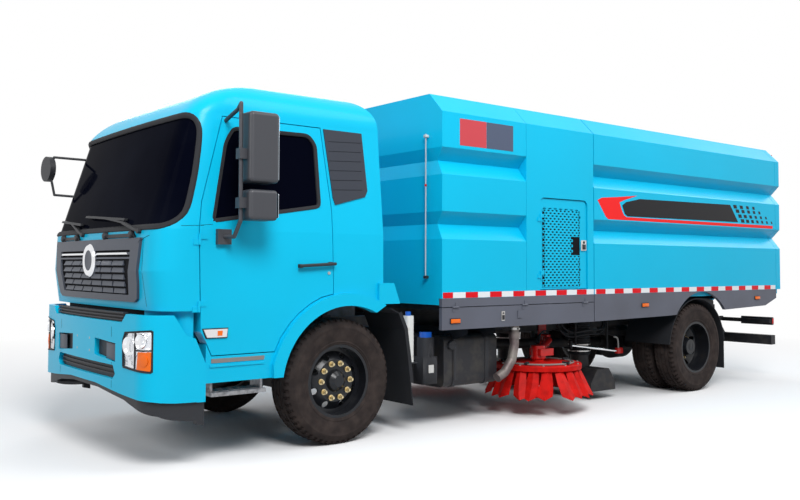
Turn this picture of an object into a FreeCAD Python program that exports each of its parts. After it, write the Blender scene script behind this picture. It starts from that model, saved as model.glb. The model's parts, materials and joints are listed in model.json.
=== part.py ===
import FreeCAD, Part
import math
import os

# Street sweeper truck on a two-axle cab-over chassis.
# +X points forward, +Y to the vehicle's left, +Z up, all sizes in millimetres.
# The origin is on the ground at the middle of the overall length and width.

V = FreeCAD.Vector
X_AXIS = V(1, 0, 0)
Y_AXIS = V(0, 1, 0)
Z_AXIS = V(0, 0, 1)

# Overall layout
WHEELBASE = 5000.0
FRONT_OVERHANG = 1700.0
REAR_OVERHANG = 1860.0
FRONT_AXLE_X = (WHEELBASE + REAR_OVERHANG - FRONT_OVERHANG) / 2
REAR_AXLE_X = FRONT_AXLE_X - WHEELBASE
REAR_END_X = REAR_AXLE_X - REAR_OVERHANG

# Clearances
SEAT = 0.3
FIT = 0.05

# Tyres and wheels
TYRE_R = 508.0
TYRE_W = 276.0
TREAD_W = 212.0
RIM_R = 286.0
RIM_FLANGE_R = 299.0
RIM_W = 226.0
RIM_WALL = 14.0
DISC_T = 16.0
HUB_BORE_R = 42.0
HAND_HOLES = 8
HAND_HOLE_R = 28.0
HAND_HOLE_PITCH_R = 205.0
STUDS = 10
STUD_PITCH_R = 142.0
STUD_R = 15.0
FRONT_WHEEL_Y = 962.0
DUAL_SPACING = 312.0
REAR_OUTER_Y = 1050.0
REAR_INNER_Y = REAR_OUTER_Y - DUAL_SPACING

# Frame
TANK_PIVOT_X = REAR_END_X + 330.0
RAIL_TOP = 980.0
RAIL_H = 240.0
RAIL_FLANGE = 78.0
RAIL_WALL = 8.0
RAIL_OUT_Y = 430.0
RAIL_FRONT = FRONT_AXLE_X + 1330.0
RAIL_REAR = TANK_PIVOT_X - 60.0
SUBFRAME_H = 72.0
BEARER_H = 50.0
FLOOR_Z = RAIL_TOP + SUBFRAME_H + BEARER_H
BEARER_AT = (-1050.0, -1500.0, -1960.0, -2420.0, -2960.0, -3340.0, -3920.0, -5680.0)
OUTRIGGER_AT = -4330.0

# Front axle and steering
KINGPIN_Y = 850.0
KINGPIN_R = 24.0
BEAM_Z = TYRE_R
BEAM_EYE_H = 110.0
BEAM_DROP = 110.0
STUB_R = HUB_BORE_R - FIT

# Cab
CAB_HALF = 1190.0
CAB_REAR = FRONT_AXLE_X - 360.0
CAB_WALL = 55.0
CAB_FLOOR_Z = 1120.0
CAB_BELT_Z = 1700.0
CAB_HEAD_Z = 2560.0
CAB_ROOF_Z = 2840.0
CAB_SILL_Z = 600.0
TREAD_Z = 770.0
ARCH_R = 615.0
FLARE_W = 100.0
FLARE_PROUD = 28.0
DOOR_GAP = 7.0
GLASS_T = 6.0
GLASS_INSET = 14.0
CAB_BOW = 22.0
CAB_BOW_SHARE = 0.80

# Sweeper body
BODY_HALF = 1250.0
BODY_FRONT = FRONT_AXLE_X - 960.0
BODY_REAR = REAR_END_X + 50.0
BODY_TOP = 2980.0
BODY_SIDE_TOP = 2805.0
BODY_BEVEL = 172.0
BODY_BASE = 1160.0
BODY_WALL = 40.0
SKIRT_BOTTOM = 885.0
COVER_FLOOR_T = 14.0
SKIRT_T = 36.0
SEAM_1 = FRONT_AXLE_X - 2030.0
SEAM_2 = FRONT_AXLE_X - 3040.0
SEAM_GAP = 12.0
GROOVE_DEPTH = 105.0
GROOVE_FRONT_DEPTH = 38.0
GROOVES = ((2490.0, 2380.0, 2250.0), (1925.0, 1815.0, 1680.0))
TAIL_DOOR_T = 108.0
TAIL_GAP = 6.0
TANK_PIVOT_Z = RAIL_TOP + 70.0
TANK_PIN_R = 25.0

# Service door in the middle cover
MESH_DOOR_FRONT = FRONT_AXLE_X - 2225.0
MESH_DOOR_REAR = FRONT_AXLE_X - 2935.0
MESH_DOOR_TOP = 2110.0
MESH_DOOR_BOTTOM = 1215.0
MESH_DOOR_T = 30.0

# Exhaust outlet
EXHAUST_AT = -1977.0
EXHAUST_Y = BODY_HALF - 110.0
EXHAUST_R = 44.0

# Brush gear
BRUSH_X = FRONT_AXLE_X - 2560.0
BRUSH_Y = 915.0
BRUSH_PLATE_R = 430.0
BRUSH_TIP_R = 585.0
BRUSH_PLATE_Z = 455.0
BRUSH_TIP_Z = 150.0
BRISTLES = 22
ARM_PIVOT_X = FRONT_AXLE_X - 3150.0
ARM_PIVOT_Y = 500.0
ARM_PIVOT_Z = 640.0
ARM_PIN_R = 22.0
ARM_LEAN = 0.15
NOZZLE_X = FRONT_AXLE_X - 3620.0
NOZZLE_HALF = 900.0
NOZZLE_LEN = 420.0
NOZZLE_BOTTOM = 95.0
NOZZLE_TOP = 330.0
NOZZLE_WALL = 14.0
NOZZLE_SIDE_H = 90.0
NOZZLE_SLOPE = 110.0
NOZZLE_NECK_H = 270.0
HOSE_Y = 568.0
GUIDE_Y = 290.0
GUIDE_R = 15.0
GUIDE_LOW = 600.0
HOSE_R = 100.0
HOSE_WALL = 16.0
INLET_R = HOSE_R + 15.0


def at(ahead):
    return FRONT_AXLE_X + ahead


# Sizes and outlines of the single assemblies. Inside at() a value counts from the front axle.
NOZZLE_GUIDE_X = NOZZLE_X - 180.0
CROSS_X = (at(1270), at(-1150), at(-2350), at(-3080), NOZZLE_GUIDE_X, at(-5720), TANK_PIVOT_X + 10)

SPRING_Y = 405.0
SPRING_W = 80.0

CAB_SECTIONS = (
    # height, front, corner, half width, rear
    (CAB_SILL_Z - 10, 1585.0, 1265.0, CAB_HALF - 12, CAB_REAR),
    (CAB_FLOOR_Z, 1600.0, 1280.0, CAB_HALF, CAB_REAR),
    (1400.0, 1640.0, 1300.0, CAB_HALF, CAB_REAR),
    (CAB_BELT_Z, 1625.0, 1290.0, CAB_HALF - 2, CAB_REAR),
    (CAB_HEAD_Z, 1370.0, 1090.0, CAB_HALF - 62, CAB_REAR + 20),
)
ROOF_SECTIONS = (
    (CAB_HEAD_Z, 1370.0, 1090.0, CAB_HALF - 62, CAB_REAR + 20),
    (2690.0, 1240.0, 1000.0, CAB_HALF - 88, CAB_REAR + 42),
    (2780.0, 1080.0, 860.0, CAB_HALF - 160, CAB_REAR + 110),
    (CAB_ROOF_Z, 860.0, 660.0, CAB_HALF - 300, CAB_REAR + 240),
)

DOOR_OUTLINE = ((1282.0, 965.0), (1302.0, CAB_BELT_Z), (1280.0, 1900.0), (1100.0, 2545.0), (235.0, 2545.0),
                (150.0, 1890.0), (135.0, 1215.0))
DOOR_ARC_R = ARCH_R + FLARE_W + 12
DOOR_TOE = ((665.0, 790.0), (1190.0, 790.0), (1245.0, 905.0))
WINDOW_OUTLINE = ((1190.0, 1760.0), (1080.0, 2350.0), (1010.0, 2465.0), (350.0, 2475.0), (285.0, 2400.0),
                  (262.0, 1905.0))

# Left half of the windscreen's edge as (y, z), taken where the cut crosses SCREEN_PLANE.
SCREEN_EDGE = ((1003.0, 1715.0), (1102.0, 1742.0), (1168.0, 1805.0), (1180.0, 1900.0), (1195.0, 2100.0),
               (1197.0, 2300.0), (1191.0, 2450.0), (1153.0, 2515.0), (1085.0, 2540.0))
SCREEN_PLANE = 1400.0
SCREEN_SLANT = 0.6

DOOR_HINGE_X = 1297.0
DOOR_HINGE_ZS = (1110.0, 1590.0)
DOOR_HINGE_R = 9.0
DOOR_HINGE_PIN_R = 4.0
DOOR_HINGE_L = 80.0
DOOR_AXIS_Y = CAB_HALF + DOOR_HINGE_R + SEAT

GRILLE_TOP = 1640.0
GRILLE_TOP_HALF = 925.0
GRILLE_BACK_T = 5.0
GRILLE_BOTTOM = 1175.0
GRILLE_PROUD = 20.0
FIN_ROWS = 5
FIN_COLUMNS = 8
FIN_PITCH_Y = 168.0
FIN_PITCH_Z = 50.0
FIN_LOW_Z = 1236.0
FIN_H = 34.0

BUMPER_FRONT = FRONT_OVERHANG
BUMPER_CORNER = 1238.0
BUMPER_HALF = 1200.0
BUMPER_BOW = 35.0
BUMPER_BOTTOM = 475.0
BUMPER_TOP = 1092.0
BUMPER_T = 36.0
LIP_BOTTOM = 305.0
# The bumper's lower edge and the black lip's lower edge, seen from the front, as (y, z).
CHIN_EDGE = ((1205.0, 478.0), (1117.0, 495.0), (740.0, 516.0), (275.0, 553.0))
LIP_EDGE = ((1178.0, 345.0), (1117.0, 390.0), (740.0, 473.0), (275.0, 516.0))

LAMP_OUTLINE = ((778.0, 715.0), (770.0, 900.0), (805.0, 960.0), (1113.0, 985.0), (1113.0, 698.0))
TOW_WINDOW = ((250.0, 765.0), (250.0, 890.0), (640.0, 872.0), (640.0, 735.0))
SLOT_OUTLINE = ((-640.0, 650.0), (-600.0, 712.0), (600.0, 712.0), (640.0, 650.0), (600.0, 610.0),
                (-600.0, 610.0))

STEP_Z = 530.0

MIRROR_Y = 1400.0
MIRROR_TUBE_R = 15.0

TANK_FRONT = -1150.0
TANK_BACK = -1820.0

GUARD_R = 560.0

TOW_LUG_T = 30.0
TOW_HOLE_R = 16.0

MESH_HINGE_ZS = (1330.0, 1880.0)
MESH_HINGE_Y = BODY_HALF + 9.0
SMALL_EYE_R = 8.0
SMALL_PIN_R = 4.0
SMALL_HINGE_L = 70.0

MESH_ROWS = 12
MESH_COLUMNS = 7
MESH_PITCH_X = 80.0
MESH_PITCH_Z = 66.0
SKIRT_DOOR_TOP = 1078.0
SKIRT_HINGE_XS = (FRONT_AXLE_X - 1150.0, FRONT_AXLE_X - 2035.0, FRONT_AXLE_X - 2920.0)

TAIL_SEAM = BODY_REAR + TAIL_DOOR_T

HINGE_X = TAIL_SEAM - TAIL_GAP / 2
HINGE_EYE_R = 18.0
HINGE_Z = BODY_TOP + HINGE_EYE_R + 4
HINGE_PIN_R = 9.0

REAR_ARCH_R = 655.0

# Tipping cylinders, one each side of the propeller shaft
CYL_Y = 205.0
CYL_EAR_GAP = 36.0
CYL_LOW_X = FRONT_AXLE_X - 3950.0
CYL_LOW_Z = 820.0
CYL_TOP_X = TANK_PIVOT_X + 1280.0
CYL_TOP_Z = TANK_PIVOT_Z - 40.0
CYL_BARREL_R = 55.0
CYL_ROD_R = 32.0

SHAFT_R = 18.0
MOTOR_Z = BRUSH_PLATE_Z + 60


def box(x0, x1, y0, y1, z0, z1):
    return Part.makeBox(x1 - x0, y1 - y0, z1 - z0, V(x0, y0, z0))


def cyl(base, axis, radius, length):
    return Part.makeCylinder(radius, length, base, axis)


def tube(base, axis, outer, inner, length):
    return cyl(base, axis, outer, length).cut(cyl(base, axis, inner, length))


def polygon(points):
    return Part.Face(Part.makePolygon([V(*p) for p in points] + [V(*points[0])]))


def prism_x(points, x0, x1):
    return polygon([(x0, y, z) for y, z in points]).extrude(V(x1 - x0, 0, 0))


def prism_y(points, y0, y1):
    return polygon([(x, y0, z) for x, z in points]).extrude(V(0, y1 - y0, 0))


def prism_z(points, z0, z1):
    return polygon([(x, y, z0) for x, y in points]).extrude(V(0, 0, z1 - z0))


def fuse(shapes):
    first = shapes[0]
    if len(shapes) == 1:
        return first
    return first.fuse(shapes[1:]).removeSplitter()


def mirrored(shape):
    return shape.mirror(V(0, 0, 0), Y_AXIS)


def both_sides(shape):
    return Part.makeCompound([shape, mirrored(shape)])


def group(shapes):
    return Part.makeCompound(shapes)


def rounded(shape, radius, wanted):
    edges = [e for e in shape.Edges if wanted(e)]
    return shape.makeFillet(radius, edges)


def along(edge, axis):
    ends = edge.Vertexes
    if len(ends) != 2:
        return False
    step = ends[1].Point - ends[0].Point
    return step.Length > 1 and abs(step.normalize().dot(axis)) > 0.999


def rod(points, radius):
    # Straight runs joined by balls, for bent round bar.
    runs = []
    for a, b in zip(points, points[1:]):
        start, end = V(*a), V(*b)
        runs.append(Part.makeCylinder(radius, (end - start).Length, start, end - start))
    for p in points[1:-1]:
        runs.append(Part.makeSphere(radius, V(*p)))
    return fuse(runs)


def hinge_pair(base, axis, length, eye_r, pin_r):
    # Two eyes in line: the first has a bore, the second carries the pin that runs through it.
    half = length / 2
    fixed = cyl(base, axis, eye_r, half - SEAT)
    moving = cyl(base + axis * half, axis, eye_r, half).fuse(cyl(base, axis, pin_r, length))
    bore = cyl(base - axis * 5, axis, pin_r + FIT, half + 5)
    return fixed, moving, bore


def lathe_y(profile, centre_x, centre_z):
    # Turns a closed (y, radius) outline about an axis along Y.
    face = polygon([(centre_x, y, centre_z + r) for y, r in profile])
    return face.revolve(V(centre_x, 0, centre_z), Y_AXIS, 360)


# Wheels

def tyre(x, y):
    half, tread = TYRE_W / 2, TREAD_W / 2
    bead = RIM_R + SEAT
    seat = RIM_W / 2 - RIM_WALL - SEAT
    side = RIM_FLANGE_R + 55
    outline = [(-seat, bead), (-seat, RIM_FLANGE_R + 4), (-half + 14, side), (-half, side + 60),
               (-half + 6, TYRE_R - 55), (-tread, TYRE_R - 8), (-tread * 0.5, TYRE_R),
               (tread * 0.5, TYRE_R), (tread, TYRE_R - 8), (half - 6, TYRE_R - 55),
               (half, side + 60), (half - 14, side), (seat, RIM_FLANGE_R + 4), (seat, bead)]
    return lathe_y([(y + dy, r) for dy, r in outline], x, TYRE_R)


def rim_ring(x, y):
    edge = RIM_W / 2
    inner = RIM_R - RIM_WALL
    outline = [(-edge, inner), (-edge, RIM_FLANGE_R), (-edge + RIM_WALL, RIM_FLANGE_R),
               (-edge + RIM_WALL, RIM_R), (edge - RIM_WALL, RIM_R), (edge - RIM_WALL, RIM_FLANGE_R),
               (edge, RIM_FLANGE_R), (edge, inner)]
    return lathe_y([(y + dy, r) for dy, r in outline], x, TYRE_R)


def wheel_disc(x, y, face, dish):
    # A pressed disc: face is the bolted plane's y, dish how far its rim side steps back.
    inner = RIM_R - RIM_WALL
    outline = [(face, HUB_BORE_R), (face, 172.0), (face - dish, 236.0), (face - dish, inner + 1),
               (face - dish - DISC_T, inner + 1), (face - dish - DISC_T, 230.0),
               (face - DISC_T, 164.0), (face - DISC_T, HUB_BORE_R)]
    disc = lathe_y([(y + dy, r) for dy, r in outline], x, TYRE_R)
    holes = []
    for k in range(HAND_HOLES):
        a = 2 * math.pi * (k + 0.5) / HAND_HOLES
        hx = x + HAND_HOLE_PITCH_R * math.cos(a)
        hz = TYRE_R + HAND_HOLE_PITCH_R * math.sin(a)
        holes.append(cyl(V(hx, y - 200, hz), Y_AXIS, HAND_HOLE_R, 400))
    return disc.cut(holes)


def stud_ring(x, y0, length):
    studs = []
    for k in range(STUDS):
        a = 2 * math.pi * k / STUDS
        centre = V(x + STUD_PITCH_R * math.cos(a), y0, TYRE_R + STUD_PITCH_R * math.sin(a))
        studs.append(cyl(centre, Y_AXIS, STUD_R, length))
    return studs


def front_rim():
    x, y = FRONT_AXLE_X, FRONT_WHEEL_Y
    face = 60.0
    ring = rim_ring(x, y)
    disc = wheel_disc(x, y, face, 46.0)
    cap_outline = [(face, HUB_BORE_R), (face + 38, HUB_BORE_R), (face + 38, 0), (face + 58, 0),
                   (face + 58, 46), (face + 30, 78), (face, 92)]
    cap = lathe_y([(y + dy, r) for dy, r in cap_outline], x, TYRE_R)
    boss_outline = [(-14, HUB_BORE_R), (-14, 88), (face - DISC_T, 110), (face - DISC_T, HUB_BORE_R)]
    boss = lathe_y([(y + dy, r) for dy, r in boss_outline], x, TYRE_R)
    return fuse([ring, disc, cap, boss] + stud_ring(x, y + face - 4, 34))


def rear_rims():
    x, y = REAR_AXLE_X, REAR_OUTER_Y
    face = -108.0
    outer = rim_ring(x, y)
    inner = rim_ring(x, REAR_INNER_Y)
    outer_disc = wheel_disc(x, y, face, -60.0)
    hub_outline = [(-DUAL_SPACING - 60, HUB_BORE_R), (-DUAL_SPACING - 60, 150), (face - DISC_T, 172),
                   (face, 120), (face + 60, 112), (face + 150, 86), (face + 150, 0),
                   (face + 120, 0), (face + 120, HUB_BORE_R)]
    hub = lathe_y([(y + dy, r) for dy, r in hub_outline], x, TYRE_R)
    web_y = REAR_INNER_Y - y
    web_outline = [(web_y + 60, 150), (web_y + 60, 172), (web_y + 44, RIM_R - RIM_WALL + 1),
                   (web_y + 28, RIM_R - RIM_WALL + 1), (web_y + 44, 150)]
    web = lathe_y([(y + dy, r) for dy, r in web_outline], x, TYRE_R)
    return fuse([outer, inner, outer_disc, hub, web] + stud_ring(x, y + face - 4, 40))


def rear_tyres():
    return group([tyre(REAR_AXLE_X, REAR_OUTER_Y), tyre(REAR_AXLE_X, REAR_INNER_Y)])


# Chassis

def rail(side):
    y0, y1 = RAIL_OUT_Y - RAIL_FLANGE, RAIL_OUT_Y
    z0, z1 = RAIL_TOP - RAIL_H, RAIL_TOP
    channel = box(RAIL_REAR, RAIL_FRONT, y0, y1, z0, z1)
    hollow = box(RAIL_REAR, RAIL_FRONT, y0, y1 - RAIL_WALL, z0 + RAIL_WALL, z1 - RAIL_WALL)
    channel = channel.cut(hollow)
    return channel if side > 0 else mirrored(channel)


def crossmembers():
    web = RAIL_OUT_Y - RAIL_WALL - SEAT
    low, high = RAIL_TOP - RAIL_H + RAIL_WALL + SEAT, RAIL_TOP - RAIL_WALL - SEAT
    members = []
    for x in CROSS_X:
        beam = box(x - 50, x + 50, -web, web, low, high)
        hollow = box(x - 50, x + 50, -web + 12, web - 12, low + 8, high - 8)
        keep = box(x - 4, x + 4, -web, web, low, high)
        member = beam.cut(hollow).fuse(keep).removeSplitter()
        if x == NOZZLE_GUIDE_X:
            member = guided(member, low)
        members.append(member)
    return members


def cab_mounts():
    # Rubber pads and brackets that carry the cab floor on the frame.
    mounts = []
    for x, length in ((at(1200), 100.0), (at(-310), 90.0)):
        for side in (-1, 1):
            y = side * (RAIL_OUT_Y - RAIL_FLANGE / 2)
            z0, z1 = RAIL_TOP + SEAT, CAB_FLOOR_Z - SEAT
            foot = box(x - length / 2, x + length / 2, y - 38, y + 38, z0, z0 + 22)
            stem = cyl(V(x, y, z0), Z_AXIS, 30, z1 - z0)
            cap = box(x - 40, x + 40, y - 38, y + 38, z1 - 22, z1)
            mounts.append(fuse([foot, stem, cap]))
    return mounts


def guided(member, low):
    # Two sleeves under one crossmember hold the suction nozzle's guide rods.
    for side in (-1, 1):
        base = V(NOZZLE_GUIDE_X, side * GUIDE_Y, GUIDE_LOW)
        sleeve = tube(base, Z_AXIS, GUIDE_R + 10, GUIDE_R + FIT, low + 8 - GUIDE_LOW)
        member = member.fuse(sleeve)
        member = member.cut(cyl(base, Z_AXIS, GUIDE_R + FIT, low + 60 - GUIDE_LOW))
    return member.removeSplitter()


def front_axle():
    x = FRONT_AXLE_X
    drop = BEAM_Z - BEAM_DROP
    eye_y = KINGPIN_Y
    top = [(-eye_y, BEAM_Z + 45), (-eye_y + 120, BEAM_Z + 40), (-480, drop + 45), (480, drop + 45),
           (eye_y - 120, BEAM_Z + 40), (eye_y, BEAM_Z + 45)]
    bottom = [(eye_y, BEAM_Z - 45), (eye_y - 150, BEAM_Z - 45), (440, drop - 45), (-440, drop - 45),
              (-eye_y + 150, BEAM_Z - 45), (-eye_y, BEAM_Z - 45)]
    beam = prism_x(top + bottom, x - 45, x + 45)
    eyes = []
    for side in (-1, 1):
        centre = V(x, side * eye_y, BEAM_Z - BEAM_EYE_H / 2)
        eyes.append(cyl(centre, Z_AXIS, 52, BEAM_EYE_H))
    beam = fuse([beam] + eyes)
    bores = [cyl(V(x, s * eye_y, 0), Z_AXIS, KINGPIN_R + FIT, 2 * BEAM_Z) for s in (-1, 1)]
    return beam.cut(bores)


def knuckle():
    x, y = FRONT_AXLE_X, KINGPIN_Y
    gap = 3.0
    ear_h = 42.0
    low = BEAM_Z - BEAM_EYE_H / 2 - gap - ear_h
    high = BEAM_Z + BEAM_EYE_H / 2 + gap
    total = high + ear_h - low
    plate_y0, plate_y1 = y + 60, y + 60 + 26
    ears = []
    for z in (low, high):
        ears.append(cyl(V(x, y, z), Z_AXIS, 50, ear_h))
        ears.append(box(x - 50, x + 50, y, plate_y1, z, z + ear_h))
    plate = box(x - 50, x + 50, plate_y0, plate_y1, low, low + total)
    pin = cyl(V(x, y, low), Z_AXIS, KINGPIN_R, total)
    stub_end = FRONT_WHEEL_Y + 60 + 36
    stub = cyl(V(x, plate_y1 - 1, BEAM_Z), Y_AXIS, STUB_R, stub_end - plate_y1 + 1)
    arm = prism_z([(x - 40, y - 20), (x - 40, y + 30), (x - 190, y - 60), (x - 190, y - 100)],
                  low, low + 26)
    return fuse(ears + [plate, pin, stub, arm])


def leaf_spring(x, seat_z, half_length, leaves, leaf_t):
    # A stack of leaves under the rail, hung from a bracket at each end.
    y0, y1 = SPRING_Y - SPRING_W / 2, SPRING_Y + SPRING_W / 2
    rail_low = RAIL_TOP - RAIL_H
    stack_top = seat_z + leaves * leaf_t
    eye_z = rail_low - 70
    top = [(x - half_length, eye_z + 12), (x - 180, stack_top), (x + 180, stack_top),
           (x + half_length, eye_z + 12)]
    bottom = [(x + half_length, eye_z - 12), (x + 0.7 * half_length, eye_z - 40 - leaf_t),
              (x + 180, seat_z), (x - 180, seat_z), (x - 0.7 * half_length, eye_z - 40 - leaf_t),
              (x - half_length, eye_z - 12)]
    stack = prism_y(top + bottom, y0, y1)
    parts = [stack]
    for end in (-1, 1):
        ex = x + end * half_length
        parts.append(cyl(V(ex, y0, eye_z), Y_AXIS, 34, SPRING_W))
        parts.append(prism_y([(ex - 30, eye_z), (ex + 30, eye_z), (ex + 55, rail_low - SEAT),
                              (ex - 55, rail_low - SEAT)], y0, y1))
    return fuse(parts)


def leaf_springs():
    front = leaf_spring(FRONT_AXLE_X, BEAM_Z - BEAM_DROP + 45 + SEAT, 720, 8, 14)
    rear = leaf_spring(REAR_AXLE_X, TYRE_R + 92 + SEAT, 760, 6, 15)
    return group([front, mirrored(front), rear, mirrored(rear)])


def rear_axle():
    x = REAR_AXLE_X
    tube_end = REAR_OUTER_Y - DUAL_SPACING - 60 - 12
    spindle_end = REAR_OUTER_Y - 108 + 118
    parts = [box(x - 70, x + 70, -tube_end, tube_end, TYRE_R - 70, TYRE_R + 70)]
    parts = [rounded(parts[0], 40, lambda e: along(e, Y_AXIS))]
    parts.append(cyl(V(x - 110, 0, TYRE_R), X_AXIS, 215, 220))
    parts.append(cyl(V(x + 110, 0, TYRE_R), X_AXIS, 120, 170))
    parts.append(cyl(V(x, -spindle_end, TYRE_R), Y_AXIS, HUB_BORE_R - FIT, 2 * spindle_end))
    for side in (-1, 1):
        y0 = side * SPRING_Y - 50
        parts.append(box(x - 95, x + 95, y0, y0 + 100, TYRE_R - 80, TYRE_R + 92))
    return fuse(parts)


def propeller_shaft():
    front_x, rear_x = at(-900), REAR_AXLE_X + 280 + SEAT
    z_front, z_rear = 640.0, TYRE_R
    start, end = V(front_x, 0, z_front), V(rear_x, 0, z_rear)
    run = end - start
    shaft = Part.makeCylinder(55, run.Length, start, run)
    for p in (start, end):
        shaft = shaft.fuse(Part.makeSphere(75, p))
    keep = box(rear_x, front_x + 120, -200, 200, 300, 900)
    return shaft.common(keep).removeSplitter()


def engine_blocks():
    main = box(at(-700), at(850), -320, 320, 555, 1095)
    main = main.fuse(box(at(-900) + 75 + SEAT, at(-700), -190, 190, 500, 880)).removeSplitter()
    low = FLOOR_Z + SEAT + COVER_FLOOR_T + SEAT
    aux = box(SEAM_1 + 80, BODY_FRONT - 160, -420, 420, low, low + 820)
    return group([main, aux])


def subframe():
    # Two long beams on the rails, with bearers seated across them.
    beams, bearers = [], []
    mid = RAIL_OUT_Y - RAIL_FLANGE / 2
    for side in (-1, 1):
        y0 = side * mid - 35
        beam = box(RAIL_REAR, BODY_FRONT - 10, y0, y0 + 70, RAIL_TOP + SEAT, RAIL_TOP + SUBFRAME_H)
        ear = cyl(V(TANK_PIVOT_X, side * mid - 20, TANK_PIVOT_Z), Y_AXIS, 42, 40)
        beam = beam.fuse(ear).removeSplitter()
        beams.append(beam.cut(cyl(V(TANK_PIVOT_X, -600, TANK_PIVOT_Z), Y_AXIS, TANK_PIN_R + FIT, 1200)))
    z0 = RAIL_TOP + SUBFRAME_H + SEAT
    z1 = FLOOR_Z
    reach = BODY_HALF - BODY_WALL - 12
    for ahead in BEARER_AT:
        bearers.append(box(at(ahead) - 35, at(ahead) + 35, -reach, reach, z0, z1))
    # Outriggers only where the tipping cylinders swing up between the beams.
    out_x, out_y = at(OUTRIGGER_AT), mid - 35
    bearers.append(box(out_x - 35, out_x + 35, out_y, reach, z0, z1))
    bearers.append(box(out_x - 35, out_x + 35, -reach, -out_y, z0, z1))
    return group(beams + bearers)


# Cab


def nose_edges(front_x, corner_x, half, bow, bow_half, z):
    # From the left side to the right: a soft corner, a shallow bow across the front, a soft corner.
    bow_x = front_x - bow
    slope = 2 * bow / bow_half
    run, reach = bow_x - corner_x, half - bow_half
    poles = [V(corner_x, half, z), V(corner_x + 0.72 * run, half, z),
             V(bow_x - slope * 0.72 * reach, bow_half + 0.72 * reach, z), V(bow_x, bow_half, z)]
    corner = Part.BezierCurve()
    corner.setPoles(poles)
    other = Part.BezierCurve()
    other.setPoles([V(p.x, -p.y, z) for p in reversed(poles)])
    front = Part.Arc(V(bow_x, bow_half, z), V(front_x, 0, z), V(bow_x, -bow_half, z))
    return [corner.toShape(), front.toShape(), other.toShape()]


def plan_wire(section, inset):
    # The cab's outline at one height: flat sides and back, a bowed front.
    z, front, corner, half, rear = section
    h, rx = half - inset, rear + inset
    nose = nose_edges(at(front) - inset, at(corner) - inset * 0.4, h, CAB_BOW, h * CAB_BOW_SHARE, z)
    left, right = V(at(corner) - inset * 0.4, h, z), V(at(corner) - inset * 0.4, -h, z)
    back_left, back_right = V(rx, h, z), V(rx, -h, z)
    edges = [Part.LineSegment(back_left, left).toShape()] + nose
    edges += [Part.LineSegment(right, back_right).toShape(),
              Part.LineSegment(back_right, back_left).toShape()]
    return Part.Wire(edges)


def cab_solid(inset=0.0, floor=None):
    sections = list(CAB_SECTIONS)
    lower = Part.makeLoft([plan_wire(s, inset) for s in sections], True, True)
    drop = inset
    roof_sections = [(z - (drop if k else 0), f, c, h, r) for k, (z, f, c, h, r) in enumerate(ROOF_SECTIONS)]
    roof = Part.makeLoft([plan_wire(s, inset) for s in roof_sections], True, False)
    whole = lower.fuse(roof)
    if floor is not None:
        cut_z = box(at(-800), at(2000), -2000, 2000, CAB_SILL_Z - 100, floor)
        whole = whole.cut(cut_z)
    return whole


def door_prism(shrink):
    # Door opening outline, taken in by shrink, as a prism through the left wall.
    points = [(at(x), z) for x, z in DOOR_OUTLINE]
    start_a = math.atan2(DOOR_OUTLINE[-1][1] - TYRE_R, DOOR_OUTLINE[-1][0])
    end_a = math.atan2(DOOR_TOE[0][1] - TYRE_R, DOOR_TOE[0][0])
    steps = 6
    for k in range(1, steps):
        a = start_a + (end_a - start_a) * k / steps
        points.append((at(DOOR_ARC_R * math.cos(a)), TYRE_R + DOOR_ARC_R * math.sin(a)))
    points += [(at(x), z) for x, z in DOOR_TOE]
    y0, y1 = CAB_HALF - 230, CAB_HALF + 60
    wire = Part.makePolygon([V(x, y0, z) for x, z in points] + [V(points[0][0], y0, points[0][1])])
    if shrink:
        wire = wire.makeOffset2D(-shrink, 2)
    return Part.Face(wire).extrude(V(0, y1 - y0, 0))


def window_prism(shrink):
    y0, y1 = CAB_HALF - 230, CAB_HALF + 60
    points = [V(at(x), y0, z) for x, z in WINDOW_OUTLINE]
    wire = Part.makePolygon(points + [points[0]])
    if shrink:
        wire = wire.makeOffset2D(-shrink, 2)
    return Part.Face(wire).extrude(V(0, y1 - y0, 0))


def screen_prism(shrink):
    # The cut slants outwards to the front on each side, so the corner pillars keep their thickness.
    x = at(1000)
    back = SCREEN_SLANT * (SCREEN_PLANE - 1000)
    corners = [(-500.0, SCREEN_EDGE[0][1])] + list(SCREEN_EDGE) + [(-500.0, SCREEN_EDGE[-1][1])]
    points = [V(x, y - back, z) for y, z in corners]
    wire = Part.makePolygon(points + [points[0]])
    if shrink:
        wire = wire.makeOffset2D(-shrink, 2)
    left = Part.Face(wire).extrude(V(900, 900 * SCREEN_SLANT, 0))
    return left.fuse(mirrored(left))


def arch_cut(radius, y0, y1):
    return cyl(V(FRONT_AXLE_X, y0, TYRE_R), Y_AXIS, radius, y1 - y0)


def side_sill(outer):
    # The lower side of the cab ahead of the wheel, with the step well behind the door.
    well_in = 830.0
    front = at(BUMPER_CORNER) - 6
    block = outer.common(box(at(-20), front, well_in, CAB_HALF + 50, CAB_SILL_Z, CAB_FLOOR_Z + 40))
    well = box(at(-20), front - 44, well_in + 40, CAB_HALF - CAB_WALL, TREAD_Z, CAB_FLOOR_Z + 100)
    well = well.cut(arch_cut(ARCH_R + 40, well_in, CAB_HALF))
    return block.cut(well), well


def arch_flare():
    ring = arch_cut(ARCH_R + FLARE_W, CAB_HALF - CAB_WALL, CAB_HALF + FLARE_PROUD)
    ring = ring.cut(arch_cut(ARCH_R, 0, CAB_HALF + 100))
    window = prism_y([(at(690), CAB_SILL_Z), (at(690), 1300), (at(-400), 1300), (at(-520), 1135),
                      (at(-380), CAB_FLOOR_Z), (at(0), 900), (at(300), CAB_SILL_Z)], 0, 2000)
    tail = prism_y([(at(-300), CAB_FLOOR_Z + 8), (at(-300), 1300), (at(-455), 1300), (at(-520), 1128)],
                   CAB_HALF - CAB_WALL, CAB_HALF + FLARE_PROUD)
    return fuse([ring.common(window), tail.cut(arch_cut(ARCH_R, 0, 2000))])


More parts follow.
